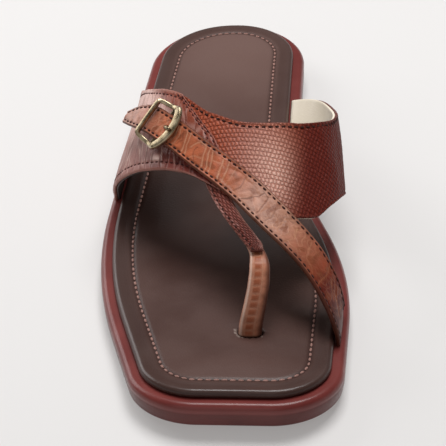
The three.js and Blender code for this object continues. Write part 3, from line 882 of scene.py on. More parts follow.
def makeSole():
    rings = []
    wallShade = []
    for inset, share, rise, dark in soleProfile():
        rings.append(ringAt(inset, lambda x, s: treadAt(s) + share * (ledgeAt(s) - treadAt(s)) + rise))
        wallShade.append(np.full(ringCount, dark))
    steps = soleUnit["treadSteps"]
    tread = treaded(ladderPoints(rings[0], steps))
    ledge = ladderPoints(rings[-1], steps)
    ledge[:, 2] = ledgeAt(planOf(ledge)[1])
    ringsEnd = len(rings) * ringCount
    faces = ringFaces(len(rings), ringCount) + ladderFaces(0, ringsEnd, steps)
    faces += ladderFaces(ringsEnd - ringCount, ringsEnd + len(tread), steps)
    wallShade = np.concatenate(wallShade + [np.ones(len(tread)), np.zeros(len(ledge))])
    points = np.concatenate(rings + [tread, ledge])
    piece = newPiece("soleUnit", points, faces, soleFinish(), {"wallShade": np.clip(wallShade, 0, 1)})
    settle(piece, "sole", "sole")


# Insole

insole = {
    "stitchInset": 9.0,
    "channel": (0.55, 1.3),        # depth and half width of the stitched channel
    "channelTone": (0.75, 1.1),    # strength and half width of its darker leather
    "roll": (2.3, 2.2),            # reach and height of the rolled edge
    "rimDip": (0.35, 4.6, 2.6),    # depth, distance from the edge, half width
    "pillow": (0.5, 10, 20),       # height, and where it rises
    "lowered": 0.1,
    "slot": (15.5, 247.7, 5.5, 3.6),    # x, station, half length, half width
    "slotDip": (0.9, 3, 0.85),     # depth, reach past the slot, spread
    "slotEdge": (0.92, 1.04),
    "slotDepth": 2.6,
    "faceFrom": 2.0,               # above the ledge
    "clear": 0.25,                 # under the footbed
    "underInset": 0.6,
    "sideRises": (0.9, 1.6),
    "insets": [(0, 2.3, 9), (2.9, 6.6, 7), (7.1, 11, 14), (12, 21, 9)],
    "middle": 30.0,                # distance from the edge that stands for all inside the insets
    "steps": (60, 8),              # across the top and the underside
    # painted sheen, a reflection on the leather's satin face: x, station, reach across, reach along,
    # strength
    "paintedSheen": [(0, 30, 60, 62, 0.95), (-40, 230, 12, 60, 0.3), (0, 282, 60, 20, 0.35)],
    "sheenRim": (0.4, 5, 10),      # share of the painted sheen that is left at the edge, and where the whole comes in
    # painted shadow under the straps, in the same way
    "strapShadows": [(-26, 152, 28, 36, 0.78), (-6, 170, 30, 28, 0.45), (14, 177, 21, 24, 0.9)],
    "darkRim": (0.28, 9, 6),
    "gloss": (0.08, 0.34, 1.8, 1.5),    # all over, more at the edge, its distance and half width
    # frayed leather at the slot: x, station, size, strength
    "specks": [
        (9.2, 246.6, 0.9, 0.6), (9.6, 248.6, 0.8, 0.8), (10.6, 250.4, 0.8, 0.7), (12.4, 251.6, 0.6, 0.5),
        (20.4, 250.6, 0.6, 0.35),
    ],
    "thread": {"length": 2.5, "width": 1.1, "height": 0.7, "seed": 3, "finish": "tanThread"},
    "threadLift": 0.12,
    "pitch": 3.3,
    "skin": ((0.06, 0.028, 0.0225), (0.076, 0.038, 0.031)),
    # colours of the masks, in the order in which they lie over the skin
    "colours": {
        # the first colour is the painted sheen; the second is the painted shadow and darker rim
        "paintedSheen": (0.15, 0.088, 0.075), "dark": (0.012, 0.006, 0.005), "channel": (0.026, 0.011, 0.009),
        # the last colour is painted shade in the slot
        "scuff": (0.42, 0.34, 0.3), "hole": (0.008, 0.005, 0.004),
    },
}


def insoleFinish():
    finish, tree = newFinish("brownFootbed")
    grain = grainOf(tree, 1300.0, 38.0)
    skin = mixed(tree, grain["Cloud"], *insole["skin"])
    for mask, colour in insole["colours"].items():
        skin = mixed(tree, pointValue(tree, mask), skin, colour)
    return dressed(finish, {
        "Base Color": skin,
        "Coat Weight": pointValue(tree, "gloss"),
        "Roughness": ranged(tree, grain["Cloud"], 0.0, 1.0, 0.36, 0.46),
        "Normal": bumped(tree, grain["Height"], 0.00005),
        "Specular IOR Level": 0.18, "Coat Roughness": 0.2,
    })


def fromSlot(x, s, more=0):
    # 1 on the slot's edge, or on a line further out
    slotX, slotS, long, wide = insole["slot"]
    return np.hypot((x - slotX) / (long + more), (s - slotS) / (wide + more))


def insoleHeight(x, s, inside):
    # the footbed's top: rolled at the edge, a channel for the stitches, and a faint pillow inside them
    depth, half = insole["channel"]
    reach, high = insole["roll"]
    rimDepth, rimAt, rimHalf = insole["rimDip"]
    pillow, rises, level = insole["pillow"]
    dip, around, spread = insole["slotDip"]
    return (
        ledgeAt(s) + slipper["insoleThickness"] - insole["lowered"]
        - high * (1 - roundOff(inside / reach))
        - depth * bell(inside - insole["stitchInset"], half)
        + pillow * (smoothStep(rises, level, inside) - 1)
        - rimDepth * bell(inside - rimAt, rimHalf)
        - dip * bell(fromSlot(x, s, around), spread)
    )


def makeInsole():
    rim = slipper["rim"]
    rings = [ringAt(rim + insole["underInset"], lambda x, s: ledgeAt(s) + insole["clear"])]
    for rise in insole["sideRises"]:
        rings.append(ringAt(rim, lambda x, s: ledgeAt(s) + rise))
    inside = [0] * len(rings)
    for inset in np.concatenate([np.linspace(*row) for row in insole["insets"]]):
        rings.append(ringAt(rim + inset, lambda x, s: insoleHeight(x, s, inset)))
        inside.append(inset)
    topSteps, baseSteps = insole["steps"]
    top = ladderPoints(rings[-1], topSteps)
    top[:, 2] = insoleHeight(*planOf(top), insole["middle"])
    base = ladderPoints(rings[0], baseSteps)
    base[:, 2] = ledgeAt(planOf(base)[1]) + insole["clear"]
    ringsEnd = len(rings) * ringCount
    faces = ringFaces(len(rings), ringCount) + ladderFaces(ringsEnd - ringCount, ringsEnd, topSteps)
    faces += ladderFaces(0, ringsEnd + len(top), baseSteps)
    points = np.concatenate(rings + [top, base])
    far = np.concatenate([np.repeat(inside, ringCount), np.full(len(top) + len(base), insole["middle"])])
    x, s = planOf(points)
    # the slot sinks, and is painted near black as its shade
    hole = 1 - smoothStep(*insole["slotEdge"], fromSlot(x, s))
    points[:, 2] -= insole["slotDepth"] * hole * (points[:, 2] > ledgeAt(s) + insole["faceFrom"])
    scuff = np.zeros(len(points))
    for spotX, spotS, size, strength in insole["specks"]:
        spot = 1 - smoothStep(0.5, 1, np.hypot(x - spotX, s - spotS) / size)
        scuff = np.maximum(scuff, strength * spot)
    # painted shadow under the straps, joined below by a darker rim
    dark = patches(x, s, insole["strapShadows"])
    darkRim, rimFrom, rimTo = insole["darkRim"]
    channelTone, channelHalf = insole["channelTone"]
    # painted sheen, with less of it towards the edge
    left, sheenFrom, sheenTo = insole["sheenRim"]
    paintedSheen = left + (1 - left) * smoothStep(sheenFrom, sheenTo, far)
    gloss, rimGloss, glossAt, glossHalf = insole["gloss"]
    piece = newPiece("insole_leather", points, faces, insoleFinish(), {
        "channel": channelTone * bell(far - insole["stitchInset"], channelHalf),
        "scuff": scuff, "hole": hole,
        "paintedSheen": patches(x, s, insole["paintedSheen"]) * paintedSheen,
        "dark": np.maximum(dark, darkRim * smoothStep(rimFrom, rimTo, far)),
        "gloss": (gloss + rimGloss * bell(far - glossAt, glossHalf)) * (1 - dark),
    })
    settle(piece, "insole", "insole")
    lift = insole["threadLift"]
    line = ringAt(
        rim + insole["stitchInset"], lambda x, s: insoleHeight(x, s, insole["stitchInset"]) + lift)
    row = alongRow(line, np.tile([0.0, 0, 1], (ringCount, 1)), insole["pitch"], True)
    sewn("insole_stitches", [row], insole["thread"], "insole")


# Instep band and its lining

band = {
    "foot": 0.004,                  # t past the ledge
    "wall": 2.2,
    "outerSkin": 1.05,
    "loop": (160, 30),              # steps over the face and the back
    "rows": (340, 0.94),            # count, and how they crowd
    "underPanel": 0.05,             # t from the panel's seam to the band's start
    "rear": [
        (0, 64), (0.1, 107), (0.222, 134.5), (0.36, 154.5), (0.436, 166.5), (0.52, 171.8), (0.62, 168),
        (0.728, 156.5), (0.84, 131), (0.914, 105.5), (0.96, 88.5), (1, 73),
    ],
    "front": [
        (0, 149), (0.128, 167.5), (0.248, 179.5), (0.362, 190.5), (0.42, 198.5), (0.48, 208),
        (0.52, 213.5), (0.56, 215.5), (0.61, 213.5), (0.66, 210.5), (0.714, 206), (0.762, 195.5),
        (0.826, 182), (0.92, 165), (1, 152),
    ],
    "stitchIn": 2.0,
    "stitched": (0.375, 0.995, 500),
    "pitch": 2.9,
    "thread": {"length": 2.0, "width": 0.85, "height": 0.55, "seed": 5, "finish": "darkThread"},
    "sewnDown": (0.16, 0.7),        # depth and half width
    "lip": (0.1, 0.8, 0.7),         # height, distance from the edge, half width
    "rowStretch": 1.12,             # of the small scales along the stations
    # folds in the worn band: distance from the crest, station, direction, half length, half width, height
    "folds": [
        (30, 176, 80, 16, 3.0, -0.35), (38, 160, 75, 18, 3.5, 0.35), (52, 168, 85, 14, 3.2, -0.4),
        (14, 198, 20, 12, 2.4, -0.3), (62, 150, 80, 16, 3.4, 0.3),
    ],
    "sheen": 0.11,
    "colours": {
        "valley": (0.18, 0.035, 0.017), "valleyWarm": (0.22, 0.045, 0.021),
        "crown": (0.34, 0.069, 0.031), "crownWarm": (0.41, 0.098, 0.047),
        # the next two colours are a painted sheen
        "sheenAndWear": (0.66, 0.38, 0.3), "sheenAndWearLow": (0.42, 0.18, 0.13),
        "shade": (0.105, 0.0105, 0.007), "deep": (0.075, 0.008, 0.006), "edge": (0.13, 0.03, 0.02),
    },
    "edgeTone": (0.7, 0.7),         # strength and half width
    # darker inner side: t where it begins and is full, strength
    "shades": [(0.575, 0.675, 0.9), (0.75, 0.95, 0.1)],
    # painted sheen on the crest: t, station, reach in t, reach in stations, strength
    "sheenAndWearPatches": [(0.582, 194, 0.062, 20, 0.98), (0.52, 186, 0.05, 16, 0.12)],
}
lining = {
    "loop": (60, 40, 5),
    "rows": 200,
    "clear": 0.03,
    "trim": 0.35,
    "paleFrom": (0.44, 0.5),        # t
    "darkTones": ((0.03, 0.018, 0.015), (0.045, 0.026, 0.021)),
    "paleTones": ((0.76, 0.67, 0.53), (0.84, 0.75, 0.62)),
}
rearAt = smoothColumn(band["rear"], 1)
frontAt = smoothColumn(band["front"], 1)


def liningFinish():
    finish, tree = newFinish("splitLining")
    grain = grainOf(tree, 1200.0, 45.0)
    dark, pale = (mixed(tree, grain["Cloud"], *lining[key]) for key in ("darkTones", "paleTones"))
    return dressed(finish, {
        "Base Color": mixed(tree, pointValue(tree, "pale"), dark, pale),
        "Normal": bumped(tree, grain["Height"], 0.00008),
        "Roughness": 0.62,
    })


def edgeLoop(steps, backSteps, turnSteps=7):
    # one turn round a leather's section, over its face, far edge, back and near edge:
    # share from edge to edge, height from back (0) to face (1), and how far a round edge bulges out
    angles = np.linspace(0, math.pi, turnSteps + 2)[1:-1]
    face, back = np.linspace(0, 1, steps), np.linspace(1, 0, backSteps)
    half = 0.5 * np.cos(angles)
    share = [face, np.ones(turnSteps), back, np.zeros(turnSteps)]
    rise = [np.ones(steps), 0.5 + half, np.zeros(backSteps), 0.5 - half]
    bulge = [np.zeros(steps), np.sin(angles), np.zeros(backSteps), -np.sin(angles)]
    return np.concatenate(share), np.concatenate(rise), np.concatenate(bulge)


def bandEdges(t, trim=0.0):
    inside = np.clip(t, 0, 1)
    return rearAt(inside) + trim, frontAt(inside) - trim


def stationsOver(rear, front, radius, share, bulge):
    # from edge to edge of a layer with round edges
    return rear + radius + (front - rear - 2 * radius) * share + bulge * radius


def makeBand():
    share, rise, bulge = edgeLoop(*band["loop"])
    count, crowding = band["rows"]
    start = seamAt(share) - band["underPanel"]
    t = start + (np.linspace(0, 1, count) ** crowding)[:, None] * (1 + band["foot"] - start)
    rear, front = bandEdges(t)
    skin = band["outerSkin"]
    s = stationsOver(rear, front, skin / 2, share, bulge)
    fromCrest = layOut(t, s)
    lay = beadLay(fromCrest, s * band["rowStretch"])
    relief = creases(fromCrest, s, band["folds"]) + beads["height"] * (beadRise(lay) - 1)
    depth, sewnHalf = band["sewnDown"]
    lip, lipAt, lipHalf = band["lip"]
    for fromEdge in (s - rear, front - s):
        relief = relief - depth * bell(fromEdge - band["stitchIn"], sewnHalf)
        relief = relief + lip * bell(fromEdge - lipAt, lipHalf)
    height = skin * (rise - 1) + relief * smoothStep(0.4, 1.0, rise)
    edgeTone, edgeHalf = band["edgeTone"]
    edge = np.maximum(bell(s - rear, edgeHalf), bell(front - s, edgeHalf)) * (rise > 0.02)
    piece = newPiece(
        "instep_band", offForm(t, s, height), tubeFaces(count, len(share)),
        beadFinish("lizardLeather", band["colours"], band["sheen"]), {
            "lay": lay, "edge": edge * edgeTone,
            "shade": sum(amount * smoothStep(low, high, t) for low, high, amount in band["shades"]),
            # painted sheen on the crest
            "sheenAndWear": sum(patches(t, s, [row]) for row in band["sheenAndWearPatches"]),
        },
    )
    settle(piece, "upper", "upper")


def sewBand():
    t = np.linspace(*band["stitched"])
    row = rowOnForm(t, rearAt(t) + band["stitchIn"], 0.0, band["pitch"])
    sewn("band_stitches", [row], band["thread"], "upper", "upper")


def makeLining():
    share, rise, bulge = edgeLoop(*lining["loop"])
    low, high = -band["wall"], -band["outerSkin"] - lining["clear"]
    t = np.linspace(-band["foot"], 1 + band["foot"], lining["rows"])[:, None] * np.ones(len(share))
    s = stationsOver(*bandEdges(t, lining["trim"]), (high - low) / 2, share, bulge)
    piece = newPiece(
        "band_lining", offForm(t, s, low + (high - low) * rise), tubeFaces(lining["rows"], len(share)),
        liningFinish(), {"pale": smoothStep(*lining["paleFrom"], t)},
    )
    settle(piece, "upper", "upper")


# Outer panel

panel = {
    "step": 0.7,                    # its face above the band's
    "skin": 1.75,
    "over": 0.2,                    # past the band's edges
    "thins": (-0.1, -0.065),        # t from the seam, where its back rises to the band's face
    "loop": (150, 24, 9),
    "rows": [(0, 0.97, 225), (0.973, 0.997, 16)],
    "lastRows": (0.9982, 0.9991, 0.9996, 1.0),
    "seam": [(0, 0.36), (0.16, 0.405), (0.34, 0.442), (0.6, 0.455), (1, 0.446)],
    "seamRound": 0.7,
    "rearStitch": 2.4,
    "frontStitch": 3.6,
    "seamStitches": (1.4, 3.8),
    # first and last t or share along each line of stitches, and steps
    "rearLine": (0.005, 0.352, 300),
    "frontLine": (0.005, 0.43, 300),
    "seamLine": (0.03, 0.97, 200),
    "formWidth": 160,               # millimetres for a whole t, near the seam
    "threadDepth": 0.1,
    "pitch": 2.7,
    "thread": {"length": 1.7, "width": 0.8, "height": 0.5, "seed": 7, "finish": "redThread"},
    "cells": {"length": 27.0, "width": 4.2, "jitter": 0.27, "seed": 21},
    "firstStation": 40,
    "slant": 0.12,
    "strayAlong": [(1.6, 9, 8)],
    "strayAcross": [(1.1, 9, 4), (0.3, 2.6, 5)],
    "crackHalf": 0.34,
    "vein": (0.62, 0.26),           # distance from the crack, half width
    "ripple": (0.3, 1.5, 31),       # squeeze along the stations, size, seed
    "veinFade": (7, 77),            # size, seed
    "veinFadeFrom": (-0.3, 0.25),
    "heights": {"crack": -0.17, "ripple": 0.1, "vein": 0.08, "sewn": -0.18},
    "sewnHalf": (0.7, 0.8),         # half width of a stitched line, and of the front one
    # distances over which something comes in, from the edge that is named
    "reliefSeam": (0.5, 1.6),
    "fieldRear": (2.6, 4.2),
    "fieldFront": (3.6, 5.2),
    "fieldSeam": (3.8, 5.5),
    "outerSeam": (9, 27),
    "outerFoot": (0.05, 0.16),      # in t
    # where the painted sheen grows, from the rear edge
    "sheenRear": (36, 8),
    "lowFront": (30, 8),
    "lowSeam": (22, 44),
    "warmSeam": (20, 7),
    "warmFront": (16, 26),
    # distance from the rear edge, the front edge and the seam, and half width, of their worn lines
    "edgeLines": ((0.3, 0.6), (0.2, 0.6), (0.0, 0.4)),
    "sheen": 0.16,
    "colours": {
        # pale is a painted sheen
        "skin": (0.2, 0.045, 0.03), "warm": (0.3, 0.08, 0.055), "pale": (0.75, 0.49, 0.435),
        "low": (0.15, 0.019, 0.013), "vein": (0.74, 0.52, 0.45), "edge": (0.4, 0.19, 0.15),
        "crack": (0.07, 0.014, 0.011), "seam": (0.29, 0.07, 0.036),
    },
}
seamAt = smoothColumn(panel["seam"], 1)


def makePanel():
    share, rise, bulge = edgeLoop(*panel["loop"])
    high, depth = panel["step"], panel["skin"]
    rows = np.concatenate([np.linspace(*row) for row in panel["rows"]] + [panel["lastRows"]])
    seam = seamAt(share)
    t = -band["foot"] + rows[:, None] * (seam + band["foot"])
    rear, front = bandEdges(t, -panel["over"])
    under = (high - depth) * (1 - smoothStep(*panel["thins"], t - seam))
    s = stationsOver(rear, front, (high - under) / 2, share, bulge)
    across = layOut(t, s)
    toSeam = layOut(seam, s) - across
    toRear, toFront = s - rear, front - s
    gap, tone = scaleCells(
        s - panel["firstStation"] + strays(across, s, panel["strayAlong"]),
        across + strays(across, s, panel["strayAcross"]) + panel["slant"] * s,
        panel["cells"],
    )
    squeeze, rippleSize, rippleSeed = panel["ripple"]
    veinAt, veinHalf = panel["vein"]
    sewnHalf, frontHalf = panel["sewnHalf"]
    raised = {
        "crack": bell(gap, panel["crackHalf"]),
        "vein": bell(gap - veinAt, veinHalf),
        "ripple": softNoise(across, s * squeeze, rippleSize, rippleSeed),
        "sewn": bell(toRear - panel["rearStitch"], sewnHalf)
        + bell(toFront - panel["frontStitch"], frontHalf)
        + sum(bell(toSeam - far, sewnHalf) for far in panel["seamStitches"]),
    }
    relief = sum(panel["heights"][key] * raised[key] for key in raised)
    relief = relief * smoothStep(*panel["reliefSeam"], toSeam)
    fall = roundOff(toSeam / panel["seamRound"])
    height = under + (high - under + relief) * fall * rise
    come = lambda key, x: smoothStep(*panel[key], x)
    inField = come("fieldRear", toRear) * come("fieldFront", toFront) * come("fieldSeam", toSeam)
    outerSide = come("outerSeam", toSeam) * (0.35 + 0.65 * come("outerFoot", t))
    fade = come("veinFadeFrom", softNoise(across, s, *panel["veinFade"]))
    edge = np.zeros(s.shape)
    for fromEdge, (edgeAt, edgeHalf) in zip((toRear, toFront, toSeam), panel["edgeLines"]):
        edge = np.maximum(edge, bell(fromEdge - edgeAt, edgeHalf))
    skin = painted(np.ones(s.shape + (1,)) * panel["colours"]["skin"], panel["colours"], [
        ("warm", 0.5 * tone + 0.5 * raised["ripple"]),
        # painted sheen on the outer side, most towards the rear
        ("pale", outerSide * (0.32 + 0.66 * come("sheenRear", toRear))),
        ("low", 0.85 * come("lowFront", toFront) * (1 - 0.65 * come("lowSeam", toSeam))),
        ("seam", 0.74 * come("warmSeam", toSeam) * come("warmFront", toFront)),
        ("crack", 0.34 * raised["crack"]),
        ("vein", 0.66 * raised["vein"] * fade * (0.35 + 0.65 * inField) * (0.45 + 0.55 * outerSide)),
        ("edge", 0.6 * edge),
    ])
    piece = newPiece(
        "outer_panel", offForm(t, s, height), tubeFaces(len(rows), len(share)),
        crocFinish("crocPanel", panel["sheen"]), {"skin": skin},
    )
    settle(piece, "upper", "upper")

    lift = high - panel["threadDepth"]
    t = np.linspace(*panel["rearLine"])
    lines = [(t, bandEdges(t, -panel["over"])[0] + panel["rearStitch"])]
    t = np.linspace(*panel["frontLine"])
    lines.append((t, bandEdges(t, -panel["over"])[1] - panel["frontStitch"]))
    v = np.linspace(*panel["seamLine"])
    for far in panel["seamStitches"]:
        t = seamAt(v)
        for _ in range(3):
            rear, front = bandEdges(t)
            s = rear + (front - rear) * v
            t = t - (far - (layOut(seamAt(v), s) - layOut(t, s))) / panel["formWidth"]
        lines.append((t, s))
    stitches = [rowOnForm(t, s, lift, panel["pitch"]) for t, s in lines]
    sewn("panel_stitches", stitches, panel["thread"], "upper", "upper")


# Tongue

tongue = {
    # outer t and station, inner t and station, from under the band to the toe post
    "rows": [
        (0, 0.401, 191, 0.452, 196), (1, 0.422, 203.5, 0.475, 208.5), (2, 0.446, 213.4, 0.498, 217.4),
        (3, 0.471, 221.7, 0.523, 223.3), (4, 0.493, 228, 0.543, 227.8), (5, 0.506, 231, 0.546, 230.3),
    ],
    "loop": (26, 14),
    "steps": 110,
    "width": 7.5,
    "length": 36,
    "depth": 0.3,
    "wall": 2.2,
    "edgeShare": 0.13,              # of the width, in a round edge
    "endRound": 1.2,
    "endWall": 0.25,                # share of the wall that is left at the end
    "scaleShrink": 1.3,
    "pitch": 2.6,
    "stitchIn": 1.5,
    "stitched": (0.2, 4.8, 200),
    "sewnDown": (0.2, 0.6),         # depth and half width
    "threadDepth": 0.05,
    "thread": {"length": 1.6, "width": 0.7, "height": 0.45, "seed": 9, "finish": "darkThread"},
    "edgeLines": ((7.4, 0.7, 1.0), (0.0, 0.5, 0.4)),    # from the outer edge, half width, strength
    "edgeTone": 0.6,
    "endShade": (0.12, 0.8, 0.2),   # strength, and the distances from the end between which it comes in
    "sheen": 0.04,
    "colours": {
        "valley": (0.07, 0.015, 0.011), "valleyWarm": (0.11, 0.022, 0.015),
        "crown": (0.17, 0.044, 0.032), "crownWarm": (0.25, 0.075, 0.055),
        # the next two colours: pale wear, and painted highlight
        "sheenAndWear": (0.5, 0.27, 0.24), "sheenAndWearLow": (0.25, 0.1, 0.08),
        "shade": (0.03, 0.008, 0.006), "deep": (0.02, 0.005, 0.004), "edge": (0.36, 0.19, 0.15),
    },
    # pale marks, worn along the edges, and painted highlight at the end: row, share across, reach along
    # each, strength
    "sheenAndWearPatches": [
        (1.6, 0.08, 0.5, 0.16, 0.7), (2.4, 0.3, 0.3, 0.12, 0.4), (4.4, 0.85, 0.4, 0.14, 0.7),
        (3.5, 0.9, 0.5, 0.1, 0.5), (5, 0.5, 0.1, 0.8, 0.4),
    ],
}


def onTongue(u, v):
    # t and station at row u and share v across
    outerT, outerS, innerT, innerS = (column(u) for column in smoothColumns(tongue["rows"]))
    return outerT + (innerT - outerT) * v, outerS + (innerS - outerS) * v


def makeTongue():
    share, rise, bulge = edgeLoop(*tongue["loop"])
    last = len(tongue["rows"]) - 1
    u = np.linspace(0, last, tongue["steps"])[:, None]
    edgeShare = tongue["edgeShare"]
    v = (edgeShare + (1 - 2 * edgeShare) * share + bulge * edgeShare) * np.ones_like(u)
    t, s = onTongue(u, v)
    fromOuter = v * tongue["width"]
    toEnd = (last - u) / last * tongue["length"] * np.ones_like(v)
    lay = beadLay(fromOuter * tongue["scaleShrink"], toEnd * tongue["scaleShrink"])
    depth, sewnHalf = tongue["sewnDown"]
    embossed = beads["height"] * (beadRise(lay) - 1)
    embossed = embossed - depth * bell(fromOuter - tongue["stitchIn"], sewnHalf)
    fall = tongue["endWall"] + (1 - tongue["endWall"]) * roundOff(toEnd / tongue["endRound"])
    middle = -tongue["depth"] - tongue["wall"] / 2
    height = middle + tongue["wall"] * (rise - 0.5) * fall + embossed * (rise > 0.9)
    edge = np.zeros_like(v)
    for edgeAt, edgeHalf, strength in tongue["edgeLines"]:
        edge = np.maximum(edge, strength * bell(fromOuter - edgeAt, edgeHalf))
    endShade, shadeFrom, shadeTo = tongue["endShade"]
    piece = newPiece(
        "tongue_strip", offForm(t, s, height), tubeFaces(len(u), len(share)),
        beadFinish("tongueLeather", tongue["colours"], tongue["sheen"]), {
            "lay": lay, "edge": tongue["edgeTone"] * edge * (rise > 0.3),
            "shade": endShade * smoothStep(shadeFrom, shadeTo, toEnd),
            # pale wear, and painted highlight at the end
            "sheenAndWear": patches(u, v, tongue["sheenAndWearPatches"]) * (rise > 0.5),
        },
    )
    settle(piece, "upper", "upper")
    t, s = onTongue(np.linspace(*tongue["stitched"]), tongue["stitchIn"] / tongue["width"])
    row = rowOnForm(t, s, -tongue["depth"] - tongue["threadDepth"], tongue["pitch"])
    sewn("tongue_stitches", [row], tongue["thread"], "upper", "upper")


# Cross strap

